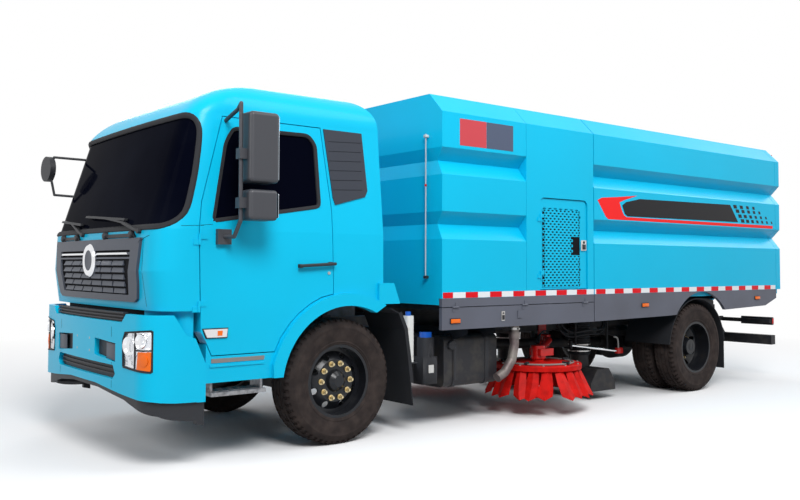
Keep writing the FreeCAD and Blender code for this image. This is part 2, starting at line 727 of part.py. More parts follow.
def door_hinges():
    # Eyes on the pillar, eyes with pins on the door, and the bores through the pillar's eyes.
    fixed, moving, bores = [], [], []
    top = CAB_HALF + 6
    for z in DOOR_HINGE_ZS:
        pillar_eye, door_eye, bore = hinge_pair(V(at(DOOR_HINGE_X), DOOR_AXIS_Y, z), Z_AXIS, DOOR_HINGE_L,
                                                DOOR_HINGE_R, DOOR_HINGE_PIN_R)
        mid, end = z + DOOR_HINGE_L / 2, z + DOOR_HINGE_L
        fixed += [pillar_eye, box(at(DOOR_HINGE_X), at(1345), CAB_HALF + SEAT, top, z, mid - SEAT),
                  box(at(1308), at(1345), CAB_HALF - 10, top, z, mid - SEAT)]
        moving += [door_eye, box(at(1235), at(DOOR_HINGE_X), CAB_HALF + SEAT, top, mid, end),
                   box(at(1235), at(1270), CAB_HALF - 10, top, mid, end)]
        bores.append(bore)
    return fixed, moving, bores


def cab_shell(outer, hollow):
    upper = outer.common(box(at(-800), at(2000), -2000, 2000, CAB_FLOOR_Z, CAB_ROOF_Z + 50))
    sill, well = side_sill(outer)
    flare = arch_flare()
    eyes, bores = door_hinges()[0], door_hinges()[2]
    eyes += [mirrored(e) for e in eyes]
    bores += [mirrored(b) for b in bores]
    body = upper.fuse([sill, mirrored(sill), flare, mirrored(flare)] + eyes)
    arch = arch_cut(ARCH_R, -2000, 2000)
    door = door_prism(0)
    cuts = [hollow, well, mirrored(well), arch, screen_prism(0)] + bores
    # The opening is cut to the skin's height only, so the hinge eyes outside it stay.
    keep = box(at(-100), at(1700), 0, CAB_HALF + 0.1, 0, 3000)
    cuts += [door.common(keep), mirrored(door.common(keep))]
    return body.cut(cuts).removeSplitter()


def cab_door(outer, hollow, well):
    skin = outer.cut([hollow, well])
    leaf = skin.common(door_prism(DOOR_GAP))
    leaf = leaf.cut(window_prism(0))
    y_in = CAB_HALF - CAB_WALL - 62
    leaf = leaf.common(box(at(0), at(1400), y_in, 2000, 0, 3000))
    return fuse([biggest(leaf)] + door_hinges()[1])


def biggest(shape):
    return max(shape.Solids, key=lambda s: s.Volume)


def pane(prism):
    outer = cab_solid(GLASS_INSET)
    inner = cab_solid(GLASS_INSET + GLASS_T)
    return biggest(outer.common(prism).cut(inner))


# Cab fittings

def front_view_prism(outline):
    return prism_x(outline, at(1300), at(1900))


def on_skin(outer, proud, prism):
    return cab_solid(-proud).cut(outer).common(prism)


def grille_fins(field):
    # Staggered slanted fins, each seated on the grille's back plate.
    room = on_skin(cab_solid(-GRILLE_BACK_T - SEAT), GRILLE_PROUD - 3, field)
    fins = []
    for row in range(FIN_ROWS):
        z = FIN_LOW_Z + FIN_PITCH_Z * row
        for column in range(FIN_COLUMNS):
            y = FIN_PITCH_Y * (column - (FIN_COLUMNS - 1) / 2) + (0.25 - 0.5 * (row % 2)) * FIN_PITCH_Y
            half = 0.43 * FIN_PITCH_Y
            if abs(y) + half < 715:
                fin = front_view_prism([(y - half, z), (y + half - 24, z), (y + half, z + FIN_H),
                                        (y - half + 24, z + FIN_H)])
                fins.append(room.common(fin))
    return fins


def front_grille(outer):
    outline = front_view_prism([(-GRILLE_TOP_HALF, GRILLE_TOP), (-880, 1300), (-850, GRILLE_BOTTOM + 25),
                                (-800, GRILLE_BOTTOM), (800, GRILLE_BOTTOM), (850, GRILLE_BOTTOM + 25),
                                (880, 1300), (GRILLE_TOP_HALF, GRILLE_TOP)])
    slot_high = front_view_prism([(-770, 1537), (-770, 1554), (770, 1554), (770, 1537)])
    slot_low = front_view_prism([(-770, 1502), (-770, 1519), (770, 1519), (770, 1502)])
    field = front_view_prism([(-770, 1488), (-720, 1225), (720, 1225), (770, 1488)])
    frame = on_skin(outer, GRILLE_PROUD, outline).cut([slot_high, slot_low, field])
    back = on_skin(outer, GRILLE_BACK_T, outline)
    return group([biggest(frame.fuse(back).removeSplitter())] + grille_fins(field))


def louvre_panels(outer):
    outline = prism_y([(at(212), 2535), (at(-165), 2535), (at(-205), 2060), (at(-180), 2010), (at(120), 1930),
                       (at(140), 1985)], CAB_HALF - 200, CAB_HALF + 60)
    panel = on_skin(outer, 9.0, outline)
    cuts = []
    for k in range(6):
        z = 2060 + 78 * k
        cuts.append(prism_y([(at(-150), z), (at(170), z - 16), (at(170), z - 10), (at(-150), z + 6)],
                            CAB_HALF - 200, CAB_HALF + 60))
    ribbed = panel.cut(on_skin(cab_solid(-4.0), 20.0, group(cuts)))
    return both_sides(biggest(ribbed))


def bumper_block(inset, z0, z1, back=0.0):
    half = BUMPER_HALF - inset
    front, corner = at(BUMPER_FRONT) - inset, at(BUMPER_CORNER)
    nose = nose_edges(front, corner + 0.1, half, BUMPER_BOW, 0.8 * half, z0)
    left, right = V(corner + 0.1, half, z0), V(corner + 0.1, -half, z0)
    back_left, back_right = V(corner - back, half, z0), V(corner - back, -half, z0)
    edges = [Part.LineSegment(back_left, left).toShape()] + nose
    edges += [Part.LineSegment(right, back_right).toShape(),
              Part.LineSegment(back_right, back_left).toShape()]
    return Part.Face(Part.Wire(edges)).extrude(V(0, 0, z1 - z0))


def bumper_band(inset, depth, z0, z1):
    return bumper_block(inset, z0, z1).cut(bumper_block(inset + depth, z0 - 1, z1 + 1, 50.0))


def flipped(outline):
    return [(-y, z) for y, z in reversed(outline)]


def shrunk_prism(outline, shrink):
    points = [V(at(1300), y, z) for y, z in outline]
    wire = Part.makePolygon(points + [points[0]])
    if shrink:
        wire = wire.makeOffset2D(-shrink, 2)
    return Part.Face(wire).extrude(V(600, 0, 0))


def under_edge(edge, lower):
    # Everything below a line given for the left half as (y, z), seen from the front.
    left = [(y, z - lower) for y, z in edge]
    right = [(-y, z) for y, z in reversed(left)]
    return front_view_prism([(edge[0][0], 200)] + left + right + [(-edge[0][0], 200)])


def front_bumper():
    shell = bumper_band(0.0, BUMPER_T, BUMPER_BOTTOM, BUMPER_TOP)
    top = BUMPER_TOP + 10
    step = prism_y([(at(1480), top), (at(1388), 952), (at(1318), 925), (at(1236), 735), (at(1100), 735),
                    (at(1100), top)], -1500, 1500)
    dip = front_view_prism([(-820, top), (-740, 1030), (740, 1030), (820, top)])
    cuts = [step, dip, under_edge(CHIN_EDGE, 0), shrunk_prism(SLOT_OUTLINE, 0)]
    for outline in (LAMP_OUTLINE, TOW_WINDOW):
        cuts += [shrunk_prism(outline, 0), shrunk_prism(flipped(outline), 0)]
    return biggest(shell.cut(cuts))


def bumper_trim():
    low_band = bumper_band(22.0, 40.0, LIP_BOTTOM, BUMPER_BOTTOM - SEAT)
    high_band = bumper_band(22.0, 40.0, BUMPER_BOTTOM - 5, CHIN_EDGE[-1][1])
    high_band = high_band.common(under_edge(CHIN_EDGE, SEAT))
    side_rise = prism_y([(at(1750), 200), (at(1750), 420), (at(1440), 352), (at(1236), LIP_BOTTOM),
                         (at(1236), 200)], -1500, 1500)
    lip = low_band.fuse(high_band).removeSplitter().cut([side_rise, under_edge(LIP_EDGE, 0)])
    lip = biggest(lip)
    behind = BUMPER_T + SEAT
    slats = [bumper_band(behind, 16.0, 975, 1100).common(box(at(1400), at(1800), -728, 728, 0, 2000))]
    for z in (1042, 1066, 1090):
        bar = bumper_band(14.0, behind, z, z + 10).common(box(at(1400), at(1800), -732, 732, 0, 2000))
        slats.append(bar)
    upper = fuse(slats)
    mesh = [bumper_band(behind, 14.0, 596, 726).common(box(at(1400), at(1800), -660, 660, 0, 2000))]
    for z in (640, 672):
        window = box(at(1400), at(1800), -585, 585, 0, 2000)
        mesh.append(bumper_band(20.0, behind - 19.0, z, z + 9).common(window))
    lower = fuse(mesh)
    plates = []
    for side in (-1, 1):
        y0, y1 = (245, 655) if side > 0 else (-655, -245)
        plates.append(bumper_band(behind, 40.0, 728, 900).common(box(at(1400), at(1800), y0, y1, 0, 2000)))
    return group([lip, upper, lower] + plates)


def bumper_brackets():
    # Arms from the rail ends to the back of the towing recesses.
    room = bumper_block(BUMPER_T + 40 + 2 * SEAT, 700, 1000)
    arms = []
    for side in (-1, 1):
        y0 = side * (RAIL_OUT_Y - RAIL_FLANGE / 2) - RAIL_FLANGE / 2
        arm = box(RAIL_FRONT + SEAT, at(BUMPER_FRONT), y0, y0 + RAIL_FLANGE, 780, 900)
        arms.append(arm.common(room))
    return arms


def headlamps():
    lamp = bumper_block(5.0, 600, 1090).cut(bumper_block(BUMPER_T + 60, 590, 1100, 50.0))
    left = biggest(lamp.common(shrunk_prism(LAMP_OUTLINE, SEAT)))
    return both_sides(left)


def tail_lamps():
    lamps = []
    for side in (-1, 1):
        y0, y1 = (700, 1130) if side > 0 else (-1130, -700)
        lamps.append(box(REAR_END_X, REAR_END_X + 50, y0, y1, 690, 790))
    return group(lamps)


def cab_steps():
    # Black grating step under the sill, hung from it by two straps.
    x0, x1 = at(745), at(1190)
    tread = box(x0, x1, 985, 1195, STEP_Z - 28, STEP_Z)
    slots = []
    for row in range(3):
        for column in range(5):
            sx = x0 + 32 + 78 * column + 14 * (row % 2)
            sy = 1005 + 58 * row
            slots.append(box(sx, sx + 50, sy, sy + 36, STEP_Z - 40, STEP_Z + 10))
    tread = tread.cut(slots)
    straps = [box(x0 + 8, x0 + 28, 1000, 1150, STEP_Z - 28, CAB_SILL_Z - SEAT),
              box(x1 - 28, x1 - 8, 1000, 1150, STEP_Z - 28, CAB_SILL_Z - SEAT)]
    return both_sides(fuse([tread] + straps))


def seats():
    floor = CAB_FLOOR_Z + 60 + SEAT
    parts = []
    for side in (-1, 1):
        y = side * 560
        base = rounded(box(at(80), at(600), y - 240, y + 240, floor + 190, floor + 340), 40, lambda e: True)
        back = prism_y([(at(110), floor + 300), (at(230), floor + 300), (at(110), floor + 960),
                        (at(0), floor + 960)], y - 230, y + 230)
        head = prism_y([(at(0), floor + 955), (at(90), floor + 955), (at(70), floor + 1150),
                        (at(0), floor + 1150)],
                       y - 120, y + 120)
        pedestal = box(at(160), at(520), y - 160, y + 160, floor, floor + 200)
        parts.append(fuse([base, back, head, pedestal]))
    return group(parts)


def dashboard():
    room = cab_solid(CAB_WALL + SEAT, CAB_FLOOR_Z + 60 + SEAT)
    y = CAB_HALF - CAB_WALL - 20
    block = prism_y([(at(1150), 1200), (at(1080), 1520), (at(1130), 1720), (at(1330), 1735), (at(1800), 1700),
                     (at(1800), 1200)], -y, y)
    panel = biggest(block.common(room))
    foot = box(at(1180), at(1400), -300, 300, CAB_FLOOR_Z + 60 + SEAT, 1260)
    wheel_centre = V(at(860), 560, 1800)
    tilt = V(-0.42, 0, 0.9)
    rim = Part.makeTorus(215, 15, wheel_centre, tilt, 0, 360)
    column_end = V(at(1150), 560, 1540)
    run = column_end - wheel_centre
    column = Part.makeCylinder(28, run.Length, wheel_centre, run)
    spokes = []
    for dy in (-1, 1):
        spokes.append(Part.makeCylinder(12, 215, wheel_centre, V(0, dy, 0)))
    hub = Part.makeCylinder(55, 30, wheel_centre - V(0, 0, 15), tilt)
    return fuse([panel, foot, column, rim, hub] + spokes)


def door_mirror():
    # A bent tube stands off the door and carries a tall head over a wide-angle one.
    path = [(at(1070), CAB_HALF - 100, 2500), (at(1075), MIRROR_Y - 70, 2570), (at(1090), MIRROR_Y, 2600),
            (at(1085), MIRROR_Y, 1760), (at(1085), MIRROR_Y - 90, 1650), (at(1120), CAB_HALF + 14, 1650)]
    bar = rod(path, MIRROR_TUBE_R)
    main = box(at(815), at(1055), MIRROR_Y - 95, MIRROR_Y + 85, 2035, 2545)
    main = rounded(main, 30, lambda e: True)
    small = rounded(box(at(825), at(1055), MIRROR_Y - 95, MIRROR_Y + 85, 1765, 1985), 28, lambda e: True)
    clamps = [box(at(1030), at(1112), MIRROR_Y - 30, MIRROR_Y + 30, z, z + 75) for z in (2200, 1850)]
    base = box(at(1060), at(1170), CAB_HALF - 30, CAB_HALF + 34, 1595, 1705)
    whole = fuse([bar, main, small, base] + clamps)
    return biggest(whole.cut(cab_solid(-SEAT)))


def look_down_mirror():
    # Oval mirror ahead of the front right corner, on two bent tubes from the pillar.
    x, y, z = at(1600), -1330.0, 2320.0
    head = cyl(V(x - 30, 0, 0), X_AXIS, 115, 50)
    stretch = FreeCAD.Matrix()
    stretch.scale(1.0, 1.25, 1.0)
    head = head.transformGeometry(stretch)
    head.translate(V(0, y, z))
    upper = rod([(x, y + 60, z + 20), (x - 30, -1250, 2425), (at(1180), -1115, 2405)], 11)
    lower = rod([(x, y + 60, z - 30), (x - 40, -1255, 2080), (at(1240), -1140, 2060)], 11)
    return biggest(fuse([head, upper, lower]).cut(cab_solid(-SEAT)))


def strip(start, end, width):
    # A straight band seen from the front, between two (y, z) points.
    dy, dz = end[0] - start[0], end[1] - start[1]
    length = math.hypot(dy, dz)
    ny, nz = -dz / length * width / 2, dy / length * width / 2
    return front_view_prism([(start[0] + ny, start[1] + nz), (end[0] + ny, end[1] + nz),
                             (end[0] - ny, end[1] - nz), (start[0] - ny, start[1] - nz)])


def wipers():
    # Arm and blade of each wiper follow the screen; a boss holds each arm to the cab.
    skin = cab_solid(-26)
    lifted = skin.cut(cab_solid(-9))
    close = skin.cut(cab_solid(-1.5))
    seated = skin.cut(cab_solid(-SEAT))
    parts = []
    for pivot, elbow, low, high in (((880, 1688), (560, 1762), (600, 1782), (-260, 1836)),
                                    ((-250, 1688), (-420, 1738), (-330, 1772), (-900, 1818))):
        arm = lifted.common(strip(pivot, elbow, 20))
        rest = lifted.common(strip(elbow, ((low[0] + high[0]) / 2, (low[1] + high[1]) / 2), 14))
        blade = close.common(strip(low, high, 18))
        boss = seated.common(cyl(V(at(1400), pivot[0], pivot[1]), X_AXIS, 19, 400))
        parts.append(fuse([arm, rest, blade, boss]))
    return group(parts)


# Chassis fittings


def fuel_tank():
    x0, x1 = at(TANK_BACK), at(TANK_FRONT)
    body = rounded(box(x0, x1, 500, 1060, 350, 810), 60, lambda e: along(e, X_AXIS))
    parts = [body]
    for bx in (x0 + 130, x1 - 130):
        band = rounded(box(bx - 25, bx + 25, 494, 1066, 344, 816), 66, lambda e: along(e, X_AXIS))
        bracket = box(bx - 30, bx + 30, RAIL_OUT_Y + SEAT, 505, 360, 900)
        parts += [band, bracket]
    filler = cyl(V(x1 - 260, 900, 800), Z_AXIS, 45, 50)
    return fuse(parts + [filler])


def air_drier():
    x = at(-985)
    bar = box(x - 20, x + 20, RAIL_OUT_Y + SEAT, 1000, 790, 830)
    canister = cyl(V(x, 1000, 640), Z_AXIS, 78, 170)
    cap = cyl(V(x, 1000, 810), Z_AXIS, 55, 45)
    case = rounded(box(x - 85, x + 85, 925, 1075, 400, 640), 18, lambda e: along(e, Z_AXIS))
    drier = fuse([bar, canister, cap, case])
    bottle_x = at(-760)
    shelf = box(bottle_x - 60, bottle_x + 38, RAIL_OUT_Y + 30, 1085, 598, 610)
    stay = box(bottle_x - 60, bottle_x - 25, RAIL_OUT_Y + SEAT, RAIL_OUT_Y + 40, 598, 830)
    bottle = rounded(box(bottle_x - 38, bottle_x + 38, 985, 1075, 610, 1010), 22, lambda e: along(e, Z_AXIS))
    neck = cyl(V(bottle_x, 1030, 1005), Z_AXIS, 24, 40)
    return group([drier, fuse([shelf, stay, bottle, neck])])


def battery_box():
    x0, x1 = at(-1620), at(-900)
    case = rounded(box(x0, x1, -1060, -520, 420, 800), 24, lambda e: along(e, Z_AXIS))
    lid = box(x0 - 10, x1 + 10, -1070, -510, 800, 830)
    ribs = [box(x0 + 100 * k, x0 + 100 * k + 20, -1068, -1055, 440, 790) for k in range(1, 7)]
    brackets = [box(bx, bx + 60, -525, -RAIL_OUT_Y - SEAT, 430, 900) for bx in (x0 + 90, x1 - 150)]
    return fuse([case, lid] + ribs + brackets)


def bent_plate(points, thickness, y0, y1):
    # A plate of even thickness that follows a line of (x, z) points.
    outer = []
    for k, (x, z) in enumerate(points):
        a = points[max(k - 1, 0)]
        b = points[min(k + 1, len(points) - 1)]
        dx, dz = b[0] - a[0], b[1] - a[1]
        length = math.hypot(dx, dz)
        outer.append((x + thickness * dz / length, z - thickness * dx / length))
    return prism_y(list(points) + outer[::-1], y0, y1)


def mudguards():
    flap = bent_plate([(at(-470), 1085), (at(-560), 1040), (at(-625), 900), (at(-665), 640), (at(-715), 250)],
                      9.0, 640, 1150)
    lip = bent_plate([(at(-560), 1040), (at(-625), 900), (at(-665), 640), (at(-690), 445)], 36.0, 1141, 1150)
    stay = box(at(-660), at(-625), RAIL_OUT_Y + SEAT, 660, 860, 895)
    front = fuse([flap, lip, stay])
    ring = tube(V(REAR_AXLE_X, 590, TYRE_R), Y_AXIS, GUARD_R + 10, GUARD_R, 600)
    keep = box(REAR_AXLE_X - 700, REAR_AXLE_X + 700, 0, 1300, TYRE_R + 60, 2000)
    arc = ring.common(keep)
    rear_flap = box(REAR_AXLE_X - GUARD_R - 10, REAR_AXLE_X - GUARD_R, 600, 1180, 230, TYRE_R + 110)
    stays = []
    for dx in (-480, 480):
        stays.append(box(REAR_AXLE_X + dx - 15, REAR_AXLE_X + dx + 15, RAIL_OUT_Y + SEAT, 640, 800, 830))
    rear = fuse([arc, rear_flap] + stays)
    return group([front, mirrored(front), rear, mirrored(rear)])


def underride_guard():
    beam = box(REAR_END_X + 10, REAR_END_X + 110, -1150, 1150, 440, 560)
    parts = [beam]
    low = RAIL_TOP - RAIL_H
    for side in (-1, 1):
        y = side * (RAIL_OUT_Y + 12)
        inner = y - 12 + SEAT if side > 0 else y - 12
        plate = prism_y([(RAIL_REAR + 10, low + 60), (RAIL_REAR + 160, low + 60),
                         (RAIL_REAR + 160, low + 200),
                         (RAIL_REAR + 10, low + 200)], inner, inner + 24 - SEAT)
        leg = prism_y([(RAIL_REAR + 160, low + 140), (RAIL_REAR + 40, low + 140), (REAR_END_X + 30, 560),
                       (REAR_END_X + 30, 450), (REAR_END_X + 100, 450)], inner, inner + 24 - SEAT)
        parts += [plate, leg]
    bar = box(REAR_END_X + 50 + SEAT, REAR_END_X + 90, -1120, 1120, 715, 765)
    arms = []
    for side in (-1, 1):
        y0 = 436 if side > 0 else -460
        arms.append(box(REAR_END_X + 80, RAIL_REAR + 40, y0, y0 + 24, 720, 760 + 20))
    lug = box(REAR_END_X + 30, REAR_END_X + 90, -TOW_LUG_T / 2, TOW_LUG_T / 2, 395, 445)
    lug = lug.fuse(cyl(V(REAR_END_X + 60, -TOW_LUG_T / 2, 395), Y_AXIS, 30, TOW_LUG_T))
    hole = cyl(V(REAR_END_X + 60, -50, 395), Y_AXIS, TOW_HOLE_R, 100)
    return fuse(parts + [bar, lug] + arms).cut(hole)


def exhaust_pipe():
    x, y = at(EXHAUST_AT), EXHAUST_Y
    points = [(x, y, 880), (x, y, 700), (x + 35, y, 560), (x + 130, y, 450), (x + 235, y, 405)]
    pipe = rod(points, EXHAUST_R)
    collar = cyl(V(x, y, 760), Z_AXIS, EXHAUST_R + 10, 60)
    hanger = box(x - 20, x + 20, RAIL_OUT_Y + SEAT, y - 30, 800, 830)
    return fuse([pipe, collar, hanger])


# Sweeper body

def wall_line(inset, depth):
    # Points (reach, z) down one wall from the roof edge, with a V groove at each level.
    line = [(-inset, BODY_SIDE_TOP - 0.414 * inset)]
    for top, valley, low in GROOVES:
        line += [(-inset, top), (-depth - inset, valley), (-inset, low)]
    return line


def body_section(inset, depth):
    half = BODY_HALF
    side = [(half + r, z) for r, z in wall_line(inset, depth)]
    if depth == 0:
        side = [side[0]]
    top = [(half - BODY_BEVEL - 0.414 * inset, BODY_TOP - inset)]
    if inset:
        foot = [(half - inset, BODY_BASE + 30), (half - inset - 40, BODY_BASE + 30),
                (half - inset - 40, FLOOR_Z + SEAT + COVER_FLOOR_T)]
    else:
        foot = [(half, BODY_BASE), (half - BODY_WALL - 6, BODY_BASE), (half - BODY_WALL - 6, FLOOR_Z + SEAT)]
    right = top + side + foot
    return right + [(-y, z) for y, z in reversed(right)]


def covers():
    # The front compartment has grooves that run round its front corners; the middle cover is plain.
    x0, x1 = SEAM_1 + 2, BODY_FRONT
    outer = prism_x(body_section(0.0, GROOVE_DEPTH), x0, x1)
    face = [(x1 + r, z) for r, z in wall_line(0.0, GROOVE_FRONT_DEPTH)]
    side_view = [(x1, BODY_TOP + 10)] + face + [(x1, 900), (x0 - 10, 900), (x0 - 10, BODY_TOP + 10)]
    outer = outer.common(prism_y(side_view, -1400, 1400))
    inner = prism_x(body_section(BODY_WALL, GROOVE_DEPTH), x0 - 10, x1 - GROOVE_FRONT_DEPTH - BODY_WALL)
    front = outer.cut(inner)
    m0, m1 = SEAM_2 + SEAM_GAP, SEAM_1 - 2
    middle = prism_x(body_section(0.0, 0), m0, m1).cut(prism_x(body_section(BODY_WALL, 0), m0 - 10, m1 + 10))
    flange = prism_x(body_section(0.0, 0), m1 - 8, m1)
    flange = flange.cut(prism_x(body_section(BODY_WALL, GROOVE_DEPTH), m1 - 10, m1 + 10))
    middle = middle.fuse(flange).removeSplitter()
    opening = box(MESH_DOOR_REAR, MESH_DOOR_FRONT, BODY_HALF - 60, BODY_HALF + 20,
                  MESH_DOOR_BOTTOM, MESH_DOOR_TOP)
    opening = rounded(opening, 60, lambda e: along(e, Y_AXIS) and e.Vertexes[0].Z > 2000)
    blind = box(MESH_DOOR_REAR, MESH_DOOR_FRONT, -BODY_HALF - 20, -BODY_HALF + 12,
                MESH_DOOR_BOTTOM, MESH_DOOR_TOP)
    blind = rounded(blind, 60, lambda e: along(e, Y_AXIS) and e.Vertexes[0].Z > 2000)
    fixed, _, bores = mesh_door_hinges()
    middle = middle.cut([opening, blind]).fuse(fixed)
    return group([front, middle.cut(bores).removeSplitter()])


def mesh_door_hinges():
    fixed, moving, bores = [], [], []
    x = MESH_DOOR_FRONT
    for z in MESH_HINGE_ZS:
        wall_eye, door_eye, bore = hinge_pair(V(x, MESH_HINGE_Y, z), Z_AXIS, SMALL_HINGE_L,
                                              SMALL_EYE_R, SMALL_PIN_R)
        mid = z + SMALL_HINGE_L / 2
        fixed += [wall_eye, box(x, x + 40, BODY_HALF - 5, BODY_HALF + 5, z, mid - SEAT),
                  box(x, x + 40, BODY_HALF + SEAT, MESH_HINGE_Y, z, mid - SEAT)]
        moving += [door_eye, box(x - 45, x, BODY_HALF - 2, MESH_HINGE_Y, mid, z + SMALL_HINGE_L),
                   box(x - 45, x - 12, BODY_HALF - 20, MESH_HINGE_Y, mid, z + SMALL_HINGE_L)]
        bores.append(bore)
    return fixed, moving, bores


def mesh_door():
    # Perforated service door, set back a little from the skin, on hinges along its front edge.
    gap = DOOR_GAP
    y1 = BODY_HALF - 14
    x0, x1 = MESH_DOOR_REAR + gap, MESH_DOOR_FRONT - gap
    leaf = box(x0, x1, y1 - MESH_DOOR_T, y1, MESH_DOOR_BOTTOM + gap, MESH_DOOR_TOP - gap)
    leaf = rounded(leaf, 53, lambda e: along(e, Y_AXIS) and e.Vertexes[0].Z > 2000)
    slots = []
    for row in range(MESH_ROWS):
        z = MESH_DOOR_BOTTOM + 50 + row * MESH_PITCH_Z
        for column in range(MESH_COLUMNS):
            x = x0 + 85 + column * MESH_PITCH_X + (row % 2) * MESH_PITCH_X / 2
            near_latch = abs(z - 1650) < 60 and x < x0 + 150
            if not near_latch:
                slots.append(box(x, x + 44, y1 - MESH_DOOR_T - 5, y1 + 5, z, z + 22))
    leaf = leaf.cut(slots)
    latch = box(x0 + 14, x0 + 66, y1, y1 + 8, 1610, 1690)
    return fuse([leaf, latch] + mesh_door_hinges()[1])


def skirt_hinges():
    fixed, moving, bores = [], [], []
    y, z = BODY_HALF + SMALL_EYE_R + SEAT, SKIRT_DOOR_TOP + DOOR_GAP / 2
    for x in SKIRT_HINGE_XS:
        skirt_eye, door_eye, bore = hinge_pair(V(x, y, z), X_AXIS, SMALL_HINGE_L, SMALL_EYE_R, SMALL_PIN_R)
        mid = x + SMALL_HINGE_L / 2
        fixed += [skirt_eye, box(x, mid - SEAT, BODY_HALF - 5, BODY_HALF + 5, z + 8, z + 40),
                  box(x, mid - SEAT, BODY_HALF + SEAT, BODY_HALF + 5, z, z + 40)]
        moving += [door_eye, box(mid, x + SMALL_HINGE_L, BODY_HALF - 5, BODY_HALF + 5, z - 40, z - 8),
                   box(mid, x + SMALL_HINGE_L, BODY_HALF + SEAT, BODY_HALF + 5, z - 40, z)]
        bores.append(bore)
    return fixed, moving, bores


def fixed_skirts():
    y0, y1 = BODY_HALF - SKIRT_T, BODY_HALF
    fixed, _, bores = skirt_hinges()
    left = box(SEAM_2 + SEAM_GAP, BODY_FRONT, y0, y1, SKIRT_DOOR_TOP + DOOR_GAP, BODY_BASE)
    left = fuse([left] + fixed).cut(bores)
    right = box(SEAM_2 + SEAM_GAP, BODY_FRONT, -y1, -y0, SKIRT_BOTTOM, BODY_BASE)
    return group([left, right])


def skirt_door():
    y0, y1 = BODY_HALF - SKIRT_T, BODY_HALF
    door = box(SEAM_2 + SEAM_GAP, BODY_FRONT, y0, y1, SKIRT_BOTTOM, SKIRT_DOOR_TOP)
    latch = box(at(-1960), at(-1905), y1, y1 + 8, 960, 1030)
    return fuse([door, latch] + skirt_hinges()[1])


def tank_lugs():
    lugs = []
    for side in (-1, 1):
        y0 = 432.0 if side > 0 else -462.0
        lug = cyl(V(TANK_PIVOT_X, y0, TANK_PIVOT_Z), Y_AXIS, 50, 30)
        web = box(TANK_PIVOT_X - 50, TANK_PIVOT_X + 50, y0, y0 + 30, TANK_PIVOT_Z, FLOOR_Z + 10)
        pin_y0 = 372.0 if side > 0 else -462.0
        pin = cyl(V(TANK_PIVOT_X, pin_y0, TANK_PIVOT_Z), Y_AXIS, TANK_PIN_R, 90)
        lugs += [lug, web, pin]
        for dy in (-CYL_EAR_GAP - 14, CYL_EAR_GAP):
            y = side * CYL_Y + dy
            ear = cyl(V(CYL_TOP_X, y, CYL_TOP_Z), Y_AXIS, 38, 14)
            post = box(CYL_TOP_X - 38, CYL_TOP_X + 38, y, y + 14, CYL_TOP_Z, FLOOR_Z + 10)
            lugs += [ear, post]
    return lugs


def waste_tank():
    x0, x1 = TAIL_SEAM, SEAM_2
    outer = prism_x(body_section(0.0, GROOVE_DEPTH), x0, x1)
    inner = prism_x(body_section(BODY_WALL, GROOVE_DEPTH), x0 - 10, x1 - BODY_WALL)
    shell = outer.cut(inner)
    hinges = []
    for y in (-700, 0, 700):
        lug = box(x0, x0 + 60, y - 70, y - 25, BODY_TOP - 60, HINGE_Z + 12)
        eye = cyl(V(HINGE_X, y - 70, HINGE_Z), Y_AXIS, HINGE_EYE_R, 45)
        hinges += [lug, eye]
    bores = cyl(V(HINGE_X, -1000, HINGE_Z), Y_AXIS, HINGE_PIN_R + FIT, 2000)
    inlets = [cyl(V(NOZZLE_X, side * HOSE_Y, FLOOR_Z - 10), Z_AXIS, INLET_R, 60) for side in (-1, 1)]
    return fuse([shell] + tank_lugs() + hinges).cut([bores] + inlets)


def tail_door():
    outer = prism_x(body_section(0.0, GROOVE_DEPTH), BODY_REAR, TAIL_SEAM - TAIL_GAP)
    parts = [outer]
    for y in (-700, 0, 700):
        lug = box(HINGE_X - 60, HINGE_X, y + 27, y + 70, BODY_TOP - 30, HINGE_Z + 12)
        eye = cyl(V(HINGE_X, y + 27, HINGE_Z), Y_AXIS, HINGE_EYE_R, 43)
        pin = cyl(V(HINGE_X, y - 68, HINGE_Z), Y_AXIS, HINGE_PIN_R, 110)
        parts += [lug, eye, pin]
    return fuse(parts)


def tank_skirts():
    y0, y1 = BODY_HALF - SKIRT_T, BODY_HALF
    outline = [(SEAM_2, BODY_BASE), (SEAM_2, SKIRT_BOTTOM), (REAR_AXLE_X + 700, SKIRT_BOTTOM + 15),
               (REAR_AXLE_X - 1430, SKIRT_BOTTOM + 75), (BODY_REAR, SKIRT_BOTTOM + 200),
               (BODY_REAR, BODY_BASE)]
    panel = prism_y(outline, y0, y1)
    panel = panel.cut(cyl(V(REAR_AXLE_X, 0, TYRE_R - 8), Y_AXIS, REAR_ARCH_R, 2000))
    keep = box(TAIL_SEAM, SEAM_2, 0, 2000, 0, 3000)
    return both_sides(panel.common(keep))


def cylinder_line():
    low, top = V(CYL_LOW_X, 0, CYL_LOW_Z), V(CYL_TOP_X, 0, CYL_TOP_Z)
    run = top - low
    length = run.Length
    return low, run.normalize(), length


def tip_barrels():
    low, way, length = cylinder_line()
    parts = []
    for side in (-1, 1):
        foot = low + V(0, side * CYL_Y, 0)
        start = foot + way * 42
        body = Part.makeCylinder(CYL_BARREL_R, length - 42 - 110, start, way)
        eye = cyl(V(foot.x, foot.y - 25, foot.z), Y_AXIS, 45, 50)
        bore = Part.makeCylinder(CYL_ROD_R + FIT, length, foot + way * 60, way)
        pin_hole = cyl(V(foot.x, foot.y - 40, foot.z), Y_AXIS, 20 + FIT, 80)
        parts.append(fuse([body, eye]).cut([bore, pin_hole]))
    return group(parts)


